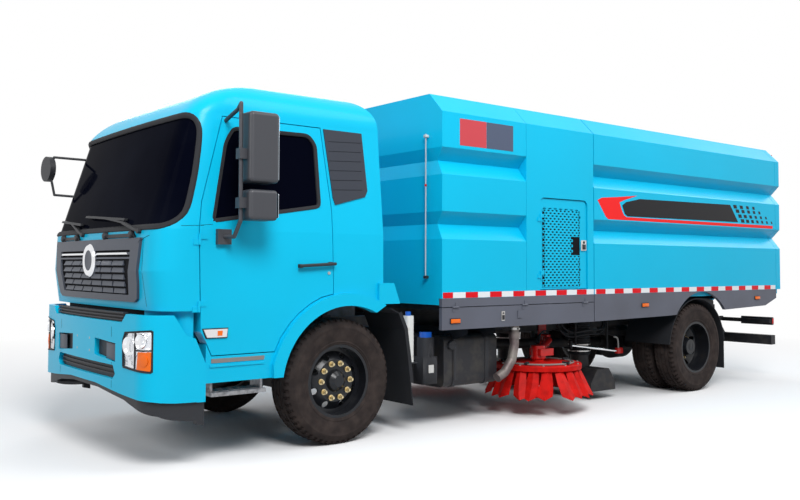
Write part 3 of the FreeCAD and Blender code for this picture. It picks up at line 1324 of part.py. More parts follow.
def tip_rods():
    low, way, length = cylinder_line()
    parts = []
    for side in (-1, 1):
        foot = low + V(0, side * CYL_Y, 0)
        top = foot + way * length
        body = Part.makeCylinder(CYL_ROD_R, length - 30 - 64, foot + way * 64, way)
        eye = cyl(V(top.x, top.y - 28, top.z), Y_AXIS, 40, 56)
        hole = cyl(V(top.x, top.y - 40, top.z), Y_AXIS, 20, 80)
        parts.append(fuse([body, eye]).cut(hole))
    return group(parts)


def cylinder_feet():
    # Ears behind a crossmember that hold the cylinders' lower pins.
    parts = []
    front = NOZZLE_GUIDE_X - 50 - SEAT
    for side in (-1, 1):
        for dy in (-45.0, 31.0):
            y = side * CYL_Y + dy
            parts.append(prism_y([(front, CYL_LOW_Z - 50), (front, CYL_LOW_Z + 50),
                                  (CYL_LOW_X - 25, CYL_LOW_Z + 30),
                                  (CYL_LOW_X - 25, CYL_LOW_Z - 30)], y, y + 14))
        parts.append(cyl(V(CYL_LOW_X, side * CYL_Y - 45, CYL_LOW_Z), Y_AXIS, 20, 90))
        parts.append(box(front - 14, front, side * CYL_Y - 45, side * CYL_Y + 45, RAIL_TOP - RAIL_H + 10,
                         RAIL_TOP - 12))
    return [fuse(parts[:4]), fuse(parts[4:])]


# Brush gear

def leaned(shape):
    # The arm's pivot leans outwards at the top, so the brush comes down as it swings out.
    lean = math.degrees(math.atan(ARM_LEAN))
    turned = shape.copy()
    turned.rotate(V(ARM_PIVOT_X, ARM_PIVOT_Y, ARM_PIVOT_Z), X_AXIS, -lean)
    return turned


def brush_bracket():
    x, y, z = ARM_PIVOT_X, ARM_PIVOT_Y, ARM_PIVOT_Z
    ears = []
    for z0 in (z - 62, z + 42):
        ears.append(cyl(V(x, y, z0), Z_AXIS, 40, 20))
        ears.append(box(x - 40, x + 40, y - 60, y, z0, z0 + 20))
    ears = leaned(fuse([ears[0], ears[1]])), leaned(fuse([ears[2], ears[3]]))
    plate = box(x - 60, x + 60, RAIL_OUT_Y + SEAT, RAIL_OUT_Y + 16, z - 75, 900)
    bore = leaned(cyl(V(x, y, z - 100), Z_AXIS, ARM_PIN_R + FIT, 200))
    keep = box(x - 100, x + 100, RAIL_OUT_Y + SEAT, y + 200, 0, 1000)
    return fuse([plate] + list(ears)).common(keep).cut(bore)


def brush_arm():
    x, y, z = ARM_PIVOT_X, ARM_PIVOT_Y, ARM_PIVOT_Z
    hub = leaned(cyl(V(x, y, z - 34), Z_AXIS, 38, 68))
    pin = leaned(cyl(V(x, y, z - 62), Z_AXIS, ARM_PIN_R, 124))
    motor = cyl(V(BRUSH_X, BRUSH_Y, MOTOR_Z), Z_AXIS, 75, 130)
    beam = rod([(x + 20, y + 15, z), (x + 170, y + 190, z + 20), (BRUSH_X, BRUSH_Y, MOTOR_Z + 70)], 32)
    arm = fuse([hub, pin, motor, beam])
    shroud = box(BRUSH_X - 130, BRUSH_X + 60, BRUSH_Y - 60, BRUSH_Y + 90, MOTOR_Z + 30, MOTOR_Z + 100)
    arm = arm.fuse(shroud)
    bore = cyl(V(BRUSH_X, BRUSH_Y, MOTOR_Z - 10), Z_AXIS, SHAFT_R + FIT, 100)
    return arm.cut(bore).removeSplitter()


def side_brush():
    plate = cyl(V(BRUSH_X, BRUSH_Y, BRUSH_PLATE_Z), Z_AXIS, BRUSH_PLATE_R, 22)
    rim = tube(V(BRUSH_X, BRUSH_Y, BRUSH_PLATE_Z - 30), Z_AXIS, BRUSH_PLATE_R, BRUSH_PLATE_R - 16, 34)
    hub = cyl(V(BRUSH_X, BRUSH_Y, BRUSH_PLATE_Z + 20), Z_AXIS, 60, MOTOR_Z - 3 - BRUSH_PLATE_Z - 20)
    shaft = cyl(V(BRUSH_X, BRUSH_Y, BRUSH_PLATE_Z), Z_AXIS, SHAFT_R, MOTOR_Z + 80 - BRUSH_PLATE_Z)
    blades = []
    for k in range(BRISTLES):
        blades.append(bristle(k * 360.0 / BRISTLES))
    return fuse([plate, rim, hub, shaft] + blades)


def bristle(angle):
    # One flat tuft: narrow where the plate holds it, wide and splayed at the tip.
    top_r, tip_r = BRUSH_PLATE_R - 40, BRUSH_TIP_R - 12
    z_top, z_tip = BRUSH_PLATE_Z + 6, BRUSH_TIP_Z
    half_top, half_tip, thick = 30.0, 62.0, 11.0
    wires = []
    for r, z, half in ((top_r, z_top, half_top), (tip_r, z_tip, half_tip)):
        corners = [V(r, -half, z), V(r + thick, -half, z), V(r + thick, half, z), V(r, half, z)]
        wires.append(Part.makePolygon(corners + [corners[0]]))
    blade = Part.makeLoft(wires, True, True)
    blade.rotate(V(0, 0, 0), Z_AXIS, angle)
    blade.translate(V(BRUSH_X, BRUSH_Y, 0))
    return blade


def seated_prism(points, y0, y1):
    # A prism across the vehicle, drawn in by half a seat on every side so that its neighbours fit.
    face = polygon([(x, y0 + SEAT / 2, z) for x, z in points])
    wire = face.OuterWire.makeOffset2D(-SEAT / 2, 2)
    return Part.Face(wire).extrude(V(0, y1 - y0 - SEAT, 0))


def suction_nozzle():
    # A hood of flat sheets with two necks on top and two guide rods on its rear slope.
    x0, x1 = NOZZLE_X - NOZZLE_LEN / 2, NOZZLE_X + NOZZLE_LEN / 2
    t, slope = NOZZLE_WALL, NOZZLE_SLOPE
    low, waist, top = NOZZLE_BOTTOM, NOZZLE_BOTTOM + NOZZLE_SIDE_H, NOZZLE_TOP
    inner = NOZZLE_HALF - t
    outline = [(x0, low), (x0, waist), (x0 + slope, top), (x1 - slope, top), (x1, waist), (x1, low)]
    roof = [(x0 + slope, top), (x1 - slope, top), (x1 - slope - 6, top - t), (x0 + slope + 6, top - t)]
    sheets = [seated_prism(outline, inner, NOZZLE_HALF), seated_prism(outline, -NOZZLE_HALF, -inner)]
    for edge, way in ((x0, 1), (x1, -1)):
        wall = [(edge, low), (edge, waist), (edge + way * t, waist - 6), (edge + way * t, low)]
        ramp = [(edge, waist), (edge + way * slope, top), (edge + way * (slope + 6), top - t),
                (edge + way * t, waist - 6)]
        sheets += [seated_prism(wall, -inner, inner), seated_prism(ramp, -inner, inner)]
    near, far = HOSE_Y - HOSE_R - 1, HOSE_Y + HOSE_R + 1
    for y0, y1 in ((-inner, -far), (-near, near), (far, inner)):
        sheets.append(seated_prism(roof, y0, y1))
    above = Part.Face(polygon([(x, 0, z) for x, z in outline]).OuterWire.makeOffset2D(SEAT, 2))
    above = above.extrude(V(0, 2 * NOZZLE_HALF, 0))
    above.translate(V(0, -NOZZLE_HALF, 0))
    for side in (-1, 1):
        y = side * HOSE_Y
        flange = seated_prism(roof, y - HOSE_R - 1, y + HOSE_R + 1)
        collar = cyl(V(NOZZLE_X, y, top - t + SEAT / 2), Z_AXIS, HOSE_R - 7, t + 20)
        neck = cyl(V(NOZZLE_X, y, top + SEAT), Z_AXIS, HOSE_R, NOZZLE_NECK_H)
        bore = cyl(V(NOZZLE_X, y, top - t - 10), Z_AXIS, HOSE_R - 10, NOZZLE_NECK_H + 100)
        sheets.append(biggest(fuse([flange, collar, neck]).cut(bore)))
        guide_top = RAIL_TOP - RAIL_H - 6
        guide = cyl(V(NOZZLE_GUIDE_X, side * GUIDE_Y, waist), Z_AXIS, GUIDE_R, guide_top - waist)
        sheets.append(biggest(guide.cut(above)))
    return group(sheets)


def suction_hoses():
    # Hose from the nozzle's neck up to the tank floor, clamped to the frame rail.
    inner, outer = HOSE_R + 7, HOSE_R + 7 + HOSE_WALL
    low, top = 465.0, FLOOR_Z - 6
    hose = cyl(V(NOZZLE_X, HOSE_Y, low), Z_AXIS, outer, top - low)
    clamp = box(NOZZLE_X - 60, NOZZLE_X + 60, RAIL_OUT_Y + SEAT, HOSE_Y, 790, 850)
    hose = fuse([hose, clamp])
    hose = hose.cut([cyl(V(NOZZLE_X, HOSE_Y, low - 10), Z_AXIS, inner, top),
                     box(NOZZLE_X - 300, NOZZLE_X + 300, 0, RAIL_OUT_Y + SEAT, 0, 2000)])
    return both_sides(biggest(hose))


def export(shape, name):
    shape.exportStep("parts/" + name + ".step")
    print(name, len(shape.Solids), "solids", "valid" if shape.isValid() else "NOT VALID")


def main():
    os.makedirs("parts", exist_ok=True)
    outer = cab_solid()
    hollow = cab_solid(CAB_WALL, CAB_FLOOR_Z + 60)
    well = side_sill(outer)[1]
    left_rail = rail(1)
    left_door = cab_door(outer, hollow, well)
    left_glass = pane(window_prism(SEAT))
    left_tyre = tyre(FRONT_AXLE_X, FRONT_WHEEL_Y)
    nodes = {
        "frame_rails": both_sides(left_rail),
        "crossmembers": group(crossmembers() + cylinder_feet() + cab_mounts() + bumper_brackets()),
        "front_axle_beam": front_axle(),
        "leaf_springs": leaf_springs(),
        "rear_axle_housing": rear_axle(),
        "propeller_shaft": propeller_shaft(),
        "engine_blocks": engine_blocks(),
        "body_subframe": subframe(),
        "cab_shell": cab_shell(outer, hollow),
        "windscreen": pane(screen_prism(SEAT)),
        "cab_seats": seats(),
        "dashboard": dashboard(),
        "cab_louvre_panels": louvre_panels(outer),
        "front_grille": front_grille(outer),
        "front_bumper": front_bumper(),
        "bumper_trim": bumper_trim(),
        "headlamps": headlamps(),
        "tail_lamps": tail_lamps(),
        "cab_steps": cab_steps(),
        "look_down_mirror": look_down_mirror(),
        "wipers": wipers(),
        "fuel_tank": fuel_tank(),
        "air_drier": air_drier(),
        "battery_box": battery_box(),
        "mudguards": mudguards(),
        "underride_guard": underride_guard(),
        "exhaust_pipe": exhaust_pipe(),
        "body_covers": covers(),
        "fixed_skirts": fixed_skirts(),
        "suction_hoses": suction_hoses(),
        "brush_brackets": both_sides(brush_bracket()),
        "rear_tyres_left": rear_tyres(),
        "rear_rims_left": rear_rims(),
        "service_door": mesh_door(),
        "skirt_door": skirt_door(),
        "waste_tank": waste_tank(),
        "tank_skirts": tank_skirts(),
        "tail_door": tail_door(),
        "tip_cylinder_barrels": tip_barrels(),
        "tip_cylinder_rods": tip_rods(),
        "suction_nozzle": suction_nozzle(),
        "steering_knuckle_left": knuckle(),
        "front_tyre_left": left_tyre,
        "front_rim_left": front_rim(),
        "cab_door_left": left_door,
        "door_glass_left": left_glass,
        "door_mirror_left": door_mirror(),
        "brush_arm_left": brush_arm(),
        "side_brush_left": side_brush(),
    }
    for name in list(nodes):
        if name.endswith("_left"):
            nodes[name[:-5] + "_right"] = mirrored(nodes[name])
    for name in sorted(nodes):
        export(nodes[name], name)
    print(len(nodes), "nodes")


if __name__ == "__main__":
    main()
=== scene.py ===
# %% [markdown]
# A street sweeper truck: a blue cab-over lorry with a grooved waste body and red brushes. Its solids are
# already drawn at real size and in place, so they are loaded first as a fixed frame. Every piece made here
# is in metres in that frame: +X forward, +Y to the lorry's left, +Z up.

# %% Load the frame
import bpy
import bmesh
import json
import math
import random
from mathutils import Matrix, Quaternion, Vector
from mathutils.bvhtree import BVHTree


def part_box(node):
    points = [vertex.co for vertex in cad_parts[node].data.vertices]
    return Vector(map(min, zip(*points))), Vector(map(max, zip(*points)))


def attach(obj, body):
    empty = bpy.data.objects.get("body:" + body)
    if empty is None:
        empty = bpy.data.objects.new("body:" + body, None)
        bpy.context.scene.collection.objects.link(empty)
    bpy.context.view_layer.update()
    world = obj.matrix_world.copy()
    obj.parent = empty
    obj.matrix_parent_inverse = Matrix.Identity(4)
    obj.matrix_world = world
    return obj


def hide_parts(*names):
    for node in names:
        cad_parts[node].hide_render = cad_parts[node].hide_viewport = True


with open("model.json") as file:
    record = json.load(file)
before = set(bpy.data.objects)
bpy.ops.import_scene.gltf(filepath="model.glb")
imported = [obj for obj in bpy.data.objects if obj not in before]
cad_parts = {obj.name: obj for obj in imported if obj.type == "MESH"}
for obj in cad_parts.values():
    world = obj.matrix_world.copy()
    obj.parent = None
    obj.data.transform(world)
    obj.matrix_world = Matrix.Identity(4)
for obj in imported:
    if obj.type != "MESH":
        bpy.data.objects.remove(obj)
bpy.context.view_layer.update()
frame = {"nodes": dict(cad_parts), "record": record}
random.seed(7)

# %% [markdown]
# Most sizes are measured from the front axle, as on a builder's drawing, so one helper turns "so far ahead
# of the front axle" into the frame's X. The directions of rays and lathes get plain names too, because a
# word is easier to check than three numbers.

# %% Layout, directions and small helpers
FRONT_AXLE = 2.58
REAR_AXLE = -2.42
TYRE_R = 0.508
BODY_SIDE = 1.25
SIDES = {"left": 1, "right": -1}
BACKWARD = (-1, 0, 0)
LEFTWARD = (0, 1, 0)
UPWARD = (0, 0, 1)


def ahead(x):
    return FRONT_AXLE + x


def inward(sign):
    return (0, -sign, 0)


def rectangle(a0, a1, b0, b1):
    return ((a0, b0), (a1, b0), (a1, b1), (a0, b1))


def turns(count, shift=0.0):
    # Angles spread evenly over a full turn.
    return [2 * math.pi * (k + shift) / count for k in range(count)]


print("wheelbase:", FRONT_AXLE - REAR_AXLE, "m")

# %% [markdown]
# Finishes come next. Each one is a Principled shader with a little noise, because no real surface is even.
# The noise reads Object coordinates, so it stays on the piece when the piece moves. A uniform colour or
# gloss is set straight on the shader, because a linked value would be lost in an export.

# %% Shader nodes and their inputs
def set_inputs(tree, node, settings):
    # A plain value is set on its input, and the output of another node is linked to it.
    for key, value in settings.items():
        if isinstance(value, bpy.types.NodeSocket):
            tree.links.new(value, node.inputs[key])
        else:
            node.inputs[key].default_value = value
    return node


def add_node(tree, kind, settings):
    return set_inputs(tree, tree.nodes.new(kind), settings)


def add_noise(tree, scale, detail):
    spot = add_node(tree, "ShaderNodeTexCoord", {}).outputs["Object"]
    settings = {"Vector": spot, "Scale": scale, "Detail": detail}
    return add_node(tree, "ShaderNodeTexNoise", settings).outputs["Fac"]


# %% Grain, wear and polish
def add_grain(tree, shader, scale, strength, distance=0.002):
    # Fine bumps, as on cast plastic, rubber or sprayed paint.
    settings = {"Height": add_noise(tree, scale, 3), "Strength": strength, "Distance": distance}
    bump = add_node(tree, "ShaderNodeBump", settings)
    set_inputs(tree, shader, {"Normal": bump.outputs["Normal"]})


def add_wear(tree, shader, color, scale, low, high):
    # Patches of a second colour, such as road dust, between two levels of the noise.
    ramp = add_node(tree, "ShaderNodeValToRGB", {"Fac": add_noise(tree, scale, 6)})
    clean, worn = ramp.color_ramp.elements
    clean.position = low
    worn.position = high
    clean.color = shader.inputs["Base Color"].default_value[:]
    worn.color = (*color, 1)
    set_inputs(tree, shader, {"Base Color": ramp.outputs["Color"]})


def add_polish(tree, shader, scale, low, high):
    # Gloss that comes and goes a little, as on wiped paint or handled metal.
    settings = {"Value": add_noise(tree, scale, 4), "To Min": low, "To Max": high}
    span = add_node(tree, "ShaderNodeMapRange", settings)
    set_inputs(tree, shader, {"Roughness": span.outputs["Result"]})


# %% A base for every finish
COAT_ROUGHNESS = 0.08


def finish(name, color, rough, metal=0.0, coat=0.0, spec=0.22, grain=None, wear=None, polish=None):
    mat = bpy.data.materials.new(name)
    mat.use_nodes = True
    tree = mat.node_tree
    shader = set_inputs(tree, tree.nodes["Principled BSDF"], {
        "Base Color": (*color, 1), "Roughness": rough, "Metallic": metal, "Coat Weight": coat,
        "Coat Roughness": COAT_ROUGHNESS, "Specular IOR Level": spec})
    for add_pattern, numbers in ((add_polish, polish), (add_wear, wear), (add_grain, grain)):
        if numbers:
            add_pattern(tree, shader, *numbers)
    return mat


# %% [markdown]
# The lorry's own finishes. The paint has a thin clear coat whose gloss varies a little, chassis parts are
# satin black with dust, and rubber and grained plastic are rougher. The blue is the photograph's bright sky
# blue. Each finish is one call: its colour and gloss first, then the scale and strength of its pattern.

# %% Paints
body_blue = finish("body_blue", (0.002, 0.50, 0.77), 0.34, coat=0.10, spec=0.10,
                   polish=(1.7, 0.26, 0.42), wear=((0.003, 0.47, 0.72), 0.9, 0.35, 0.75))
skirt_grey = finish("skirt_grey", (0.105, 0.113, 0.145), 0.5, spec=0.3,
                    wear=((0.085, 0.09, 0.112), 2.3, 0.35, 0.75))
chassis_black = finish("chassis_black", (0.016, 0.016, 0.019), 0.55, spec=0.3,
                       wear=((0.042, 0.038, 0.034), 9.0, 0.45, 0.75))
block_grey = finish("block_grey", (0.075, 0.077, 0.085), 0.6, spec=0.3,
                    wear=((0.04, 0.036, 0.032), 14.0, 0.4, 0.7))
wheel_black = finish("wheel_black", (0.009, 0.010, 0.013), 0.32, coat=0.12, spec=0.25,
                     polish=(7.0, 0.24, 0.42))
arm_red = finish("arm_red", (0.62, 0.012, 0.010), 0.38, coat=0.3, wear=((0.40, 0.010, 0.010), 12.0, 0.5, 0.8))
hose_blue = finish("hose_blue", (0.01, 0.09, 0.45), 0.4, coat=0.2, grain=(160.0, 0.1))
print("paints made")

# %% Rubber and plastic
tyre_rubber = finish("tyre_rubber", (0.026, 0.020, 0.019), 0.8, spec=0.12,
                     wear=((0.050, 0.038, 0.034), 10.0, 0.40, 0.72))
soft_rubber = finish("soft_rubber", (0.014, 0.015, 0.018), 0.7, spec=0.25, grain=(220.0, 0.15))
grained_black = finish("grained_black", (0.020, 0.021, 0.025), 0.52, spec=0.3, grain=(320.0, 0.12))
grille_grey = finish("grille_grey", (0.055, 0.064, 0.086), 0.42, spec=0.3, grain=(420.0, 0.06))
louvre_grey = finish("louvre_grey", (0.030, 0.035, 0.048), 0.42, spec=0.3, grain=(420.0, 0.06))
# void_black is the dark of panel gaps and of the bumper liner, and painted shade in the grille's recess and
# behind the perforated holes.
void_black = finish("void_black", (0.004, 0.004, 0.006), 0.8, spec=0.1, grain=(90.0, 0.2))
seat_cloth = finish("seat_cloth", (0.035, 0.036, 0.042), 0.9, grain=(900.0, 0.4, 0.001))
bristle_red = finish("bristle_red", (0.60, 0.010, 0.007), 0.5, spec=0.08,
                     wear=((0.34, 0.006, 0.005), 14.0, 0.40, 0.75))
step_metal = finish("step_metal", (0.30, 0.30, 0.31), 0.42, metal=0.6,
                    wear=((0.12, 0.12, 0.13), 30.0, 0.4, 0.7))
mirror_case = finish("mirror_case", (0.040, 0.042, 0.050), 0.42, spec=0.45, grain=(320.0, 0.10))
sill_grey = finish("sill_grey", (0.22, 0.21, 0.20), 0.6, grain=(260.0, 0.3))
bottle_white = finish("bottle_white", (0.62, 0.62, 0.60), 0.45, wear=((0.45, 0.43, 0.39), 18.0, 0.5, 0.8))
print("rubber and plastic made")

# %% Metal, glass and lenses
chrome = finish("chrome", (0.80, 0.81, 0.83), 0.09, metal=1.0, polish=(25.0, 0.05, 0.16))
bare_steel = finish("bare_steel", (0.42, 0.41, 0.40), 0.36, metal=1.0, polish=(30.0, 0.25, 0.5))
exhaust_brown = finish("exhaust_brown", (0.13, 0.10, 0.10), 0.5, metal=0.5,
                       wear=((0.24, 0.22, 0.20), 6.0, 0.4, 0.7))
zinc_gold = finish("zinc_gold", (0.66, 0.54, 0.32), 0.28, metal=0.9, polish=(60.0, 0.2, 0.45))
dark_glass = finish("dark_glass", (0.0015, 0.002, 0.006), 0.06, spec=0.002,
                    wear=((0.005, 0.006, 0.012), 0.8, 0.45, 0.7))
amber_lens = finish("amber_lens", (0.85, 0.15, 0.006), 0.16, coat=0.15, grain=(90.0, 0.5, 0.003))
red_lens = finish("red_lens", (0.60, 0.012, 0.008), 0.16, coat=0.15, grain=(90.0, 0.4, 0.003))
clear_lens = finish("clear_lens", (0.72, 0.70, 0.70), 0.12, coat=0.4, grain=(80.0, 0.4, 0.003))
lamp_silver = finish("lamp_silver", (0.74, 0.76, 0.80), 0.13, metal=0.85, grain=(16.0, 0.8, 0.03))
tape_red = finish("tape_red", (0.70, 0.008, 0.016), 0.32, spec=0.12, grain=(260.0, 0.3))
tape_white = finish("tape_white", (0.78, 0.80, 0.82), 0.32, grain=(260.0, 0.3))
vinyl_black = finish("vinyl_black", (0.012, 0.012, 0.014), 0.38, spec=0.12, polish=(4.0, 0.3, 0.45))
vinyl_red = finish("vinyl_red", (0.88, 0.022, 0.022), 0.38, spec=0.10, polish=(4.0, 0.3, 0.45))
print("metal, glass, lenses and tapes made")

# %% [markdown]
# The solids bring no finishes of their own, so each gets one here. A table from finish to solids is short
# to read, and it shows at a glance which parts of the real lorry are painted, cast, rubber or glass.

# %% Give each solid its finish
NODE_FINISH = {
    body_blue: "cab_shell cab_door_left cab_door_right front_bumper body_covers waste_tank tail_door "
               "service_door",
    skirt_grey: "fixed_skirts skirt_door tank_skirts",
    chassis_black: "frame_rails crossmembers front_axle_beam leaf_springs rear_axle_housing propeller_shaft "
                   "body_subframe underride_guard fuel_tank steering_knuckle_left steering_knuckle_right "
                   "tip_cylinder_barrels suction_nozzle",
    block_grey: "engine_blocks",
    wheel_black: "front_rim_left front_rim_right rear_rims_left rear_rims_right",
    tyre_rubber: "front_tyre_left front_tyre_right rear_tyres_left rear_tyres_right",
    soft_rubber: "mudguards suction_hoses",
    step_metal: "cab_steps",
    grained_black: "dashboard bumper_trim look_down_mirror wipers battery_box air_drier",
    mirror_case: "door_mirror_left door_mirror_right",
    grille_grey: "front_grille",
    louvre_grey: "cab_louvre_panels",
    dark_glass: "windscreen door_glass_left door_glass_right",
    lamp_silver: "headlamps",
    arm_red: "brush_arm_left brush_arm_right brush_brackets",
    red_lens: "tail_lamps",
    seat_cloth: "cab_seats",
    bristle_red: "side_brush_left side_brush_right",
    exhaust_brown: "exhaust_pipe",
    chrome: "tip_cylinder_rods",
}
for material, names in NODE_FINISH.items():
    for node in names.split():
        slots = frame["nodes"][node].data.materials
        slots.clear()
        slots.append(material)
print("finished nodes:", sum(len(n.split()) for n in NODE_FINISH.values()))

# %% [markdown]
# Every piece below is drawn in a bmesh and handed to one helper, which makes the object, gives it its
# finishes and hangs it on a body of the frame, so it moves with that body. Most pieces sit on the chassis.

# %% Finish a drawn piece
def build(name, bm, finishes, body="chassis", smooth=32.0):
    bmesh.ops.remove_doubles(bm, verts=bm.verts[:], dist=1e-6)
    bmesh.ops.recalc_face_normals(bm, faces=bm.faces[:])
    mesh = bpy.data.meshes.new(name)
    bm.to_mesh(mesh)
    bm.free()
    for material in finishes:
        mesh.materials.append(material)
    mesh.shade_smooth()
    mesh.set_sharp_from_angle(angle=math.radians(smooth))
    piece = bpy.data.objects.new(name, mesh)
    bpy.context.scene.collection.objects.link(piece)
    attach(piece, body)
    return piece


def copy_of(node):
    # A solid's mesh as a bmesh, with its loose triangles joined.
    bm = bmesh.new()
    bm.from_mesh(frame["nodes"][node].data)
    bmesh.ops.remove_doubles(bm, verts=bm.verts[:], dist=1e-5)
    return bm


# %% [markdown]
# Small parts are mostly blocks, bars, turned parts and plates. Each has a helper that starts from one
# operator: a cube, a cone, a spin or an extruded face. Blocks get a bevel, because a sharp edge catches no
# light.

# %% Basic forms
def paint(verts, index):
    for face in {f for v in verts for f in v.link_faces}:
        face.material_index = index


def edges_of(verts):
    return list({e for v in verts for e in v.link_edges})


def new_verts(grown):
    return [v for v in grown["geom"] if isinstance(v, bmesh.types.BMVert)]


def add_block(bm, corner, opposite, bevel=0.0, finish_index=0):
    low = Vector([min(pair) for pair in zip(corner, opposite)])
    high = Vector([max(pair) for pair in zip(corner, opposite)])
    place = Matrix.Translation((low + high) / 2) @ Matrix.Diagonal((*(high - low), 1))
    verts = bmesh.ops.create_cube(bm, size=1.0, matrix=place)["verts"]
    paint(verts, finish_index)
    if bevel:
        bmesh.ops.bevel(bm, geom=edges_of(verts), offset=bevel, offset_type="OFFSET", segments=2, profile=0.5,
                        affect="EDGES", material=-1)


def add_bar(bm, start, end, radius, end_radius=None, sides=20, finish_index=0):
    start, end = Vector(start), Vector(end)
    turn = (end - start).to_track_quat("Z", "Y").to_matrix().to_4x4()
    made = bmesh.ops.create_cone(bm, cap_ends=True, segments=sides, radius1=radius,
                                 radius2=end_radius or radius, depth=(end - start).length,
                                 matrix=Matrix.Translation((start + end) / 2) @ turn)
    paint(made["verts"], finish_index)


def add_turned(bm, profile, centre, axis, steps=64, closed=True, finish_index=0):
    # A lathe: the profile holds (radius, distance along the axis) pairs.
    axis = Vector(axis).normalized()
    side = axis.orthogonal().normalized()
    before = set(bm.faces)
    verts = [bm.verts.new(Vector(centre) + axis * along + side * radius) for radius, along in profile]
    edges = [bm.edges.new(pair) for pair in zip(verts, verts[1:])]
    if closed:
        edges.append(bm.edges.new((verts[-1], verts[0])))
    bmesh.ops.spin(bm, geom=verts + edges, cent=Vector(centre), axis=axis, angle=2 * math.pi, steps=steps,
                   use_merge=True)
    made = [f for f in bm.faces if f not in before]
    for face in made:
        face.material_index = finish_index
    return made


def add_plate(bm, outline, push, finish_index=0):
    # A flat plate: one face from its corners, extruded by its thickness.
    face = bm.faces.new([bm.verts.new(p) for p in outline])
    verts = new_verts(bmesh.ops.extrude_face_region(bm, geom=[face]))
    bmesh.ops.translate(bm, verts=verts, vec=Vector(push))
    paint(verts, finish_index)


def add_rings(bm, loops):
    # Closed loops of the same count, bridged one after the other.
    rows = []
    for loop in loops:
        verts = [bm.verts.new(p) for p in loop]
        rows.append([bm.edges.new((verts[i - 1], verts[i])) for i in range(len(verts))])
    for first, second in zip(rows, rows[1:]):
        bmesh.ops.bridge_loops(bm, edges=first + second)


# %% [markdown]
# Trim, lamps and seams lie on curved skins. Instead of guessing the curve, a ray is sent at the solids, and
# the piece is pressed onto the point where it lands, as one would lay tape on a panel. The rays start on a
# plane ahead of the lorry or beside it, so a point needs only its two coordinates in that plane.

# %% Where a ray lands on a skin
FRONT_PLANE = ahead(1.9)
SIDE_PLANE = 1.3
RAY_LEAD = 0.8


def front(y, z):
    return (FRONT_PLANE, y, z)


def beside(x, z, sign):
    return (ahead(x), sign * SIDE_PLANE, z)


def skin_of(*nodes):
    bm = bmesh.new()
    for node in nodes:
        bm.from_mesh(frame["nodes"][node].data)
    tree = BVHTree.FromBMesh(bm)
    bm.free()
    return tree


def land(tree, start, way):
    # The point where the ray lands, and the skin's normal there.
    way = Vector(way).normalized()
    spot, normal = tree.ray_cast(Vector(start) - way * RAY_LEAD, way)[:2]
    return (Vector(start), -way) if spot is None else (spot, normal)


cab_skin = skin_of("cab_shell", "cab_door_left", "cab_door_right", "windscreen", "front_grille",
                   "cab_louvre_panels")
glass_skin = skin_of("cab_shell", "windscreen", "cab_door_left", "cab_door_right", "door_glass_left",
                     "door_glass_right")
bumper_skin = skin_of("front_bumper", "bumper_trim", "headlamps")
print("skins ready")

# %% Press pieces onto a skin
def add_laid(bm, tree, corners, cuts, way, lift=0.0005, thick=0.002, finish_index=0):
    # A thin sheet between four corners, pressed onto the skin along one direction.
    before = set(bm.faces)
    verts = bmesh.ops.create_grid(bm, x_segments=cuts[0], y_segments=cuts[1], size=0.5)["verts"]
    faces = [f for f in bm.faces if f not in before]
    a, b, c, d = [Vector(p) for p in corners]
    out = -Vector(way).normalized()
    for vert in verts:
        u, v = vert.co.x + 0.5, vert.co.y + 0.5
        start = a.lerp(b, u).lerp(d.lerp(c, u), v)
        vert.co = land(tree, start, way)[0] + out * lift
    top = new_verts(bmesh.ops.extrude_face_region(bm, geom=faces, use_keep_orig=True))
    bmesh.ops.translate(bm, verts=top, vec=out * thick)
    paint(top, finish_index)
    paint(verts, finish_index)


def lay_front(bm, tree, corners, sign, cuts, **how):
    add_laid(bm, tree, [front(sign * y, z) for y, z in corners], cuts, BACKWARD, **how)


def lay_side(bm, corners, sign, cuts, **how):
    add_laid(bm, cab_skin, [beside(x, z, sign) for x, z in corners], cuts, inward(sign), **how)


def add_seam(bm, tree, start, end, way, width=0.003, cuts=14, lift=0.0002, thick=0.0006):
    # A narrow strip from point to point.
    start, end, way = Vector(start), Vector(end), Vector(way).normalized()
    across = (end - start).cross(way).normalized() * width / 2
    add_laid(bm, tree, [start - across, end - across, end + across, start + across], (cuts, 1), way,
             lift=lift, thick=thick)


def seam_front(bm, tree, start, end, sign, **how):
    add_seam(bm, tree, front(sign * start[0], start[1]), front(sign * end[0], end[1]), BACKWARD, **how)


# %% [markdown]
# Tyres. A lorry tyre is rings all the way round, so its section is drawn once and spun about the axle. Two
# ribs stand on the sidewall and four grooves run round the tread. The notches on the shoulders are every
# second facet of the spin, pushed in, which is quicker than cutting blocks one by one.

# %% The tyre's section
HALF_SECTION = ((0.291, 0.108), (0.300, 0.117), (0.312, 0.120), (0.316, 0.1235), (0.322, 0.1235),
                (0.327, 0.1225), (0.350, 0.1305), (0.385, 0.1365), (0.405, 0.1375), (0.430, 0.1360),
                (0.434, 0.1378), (0.440, 0.1368), (0.462, 0.1290), (0.478, 0.1205), (0.494, 0.1110),
                (0.5010, 0.1045), (0.5030, 0.1000), (0.5050, 0.0735), (0.4955, 0.0715), (0.4955, 0.0665),
                (0.5058, 0.0645), (0.5072, 0.0310), (0.4970, 0.0290), (0.4970, 0.0240), (0.5078, 0.0220))
TYRE_SECTION = [(r, -y) for r, y in HALF_SECTION] + [(r, y) for r, y in reversed(HALF_SECTION)]
TREAD_STEPS = 112
NOTCH_INSET, NOTCH_DEPTH = 0.0022, 0.008


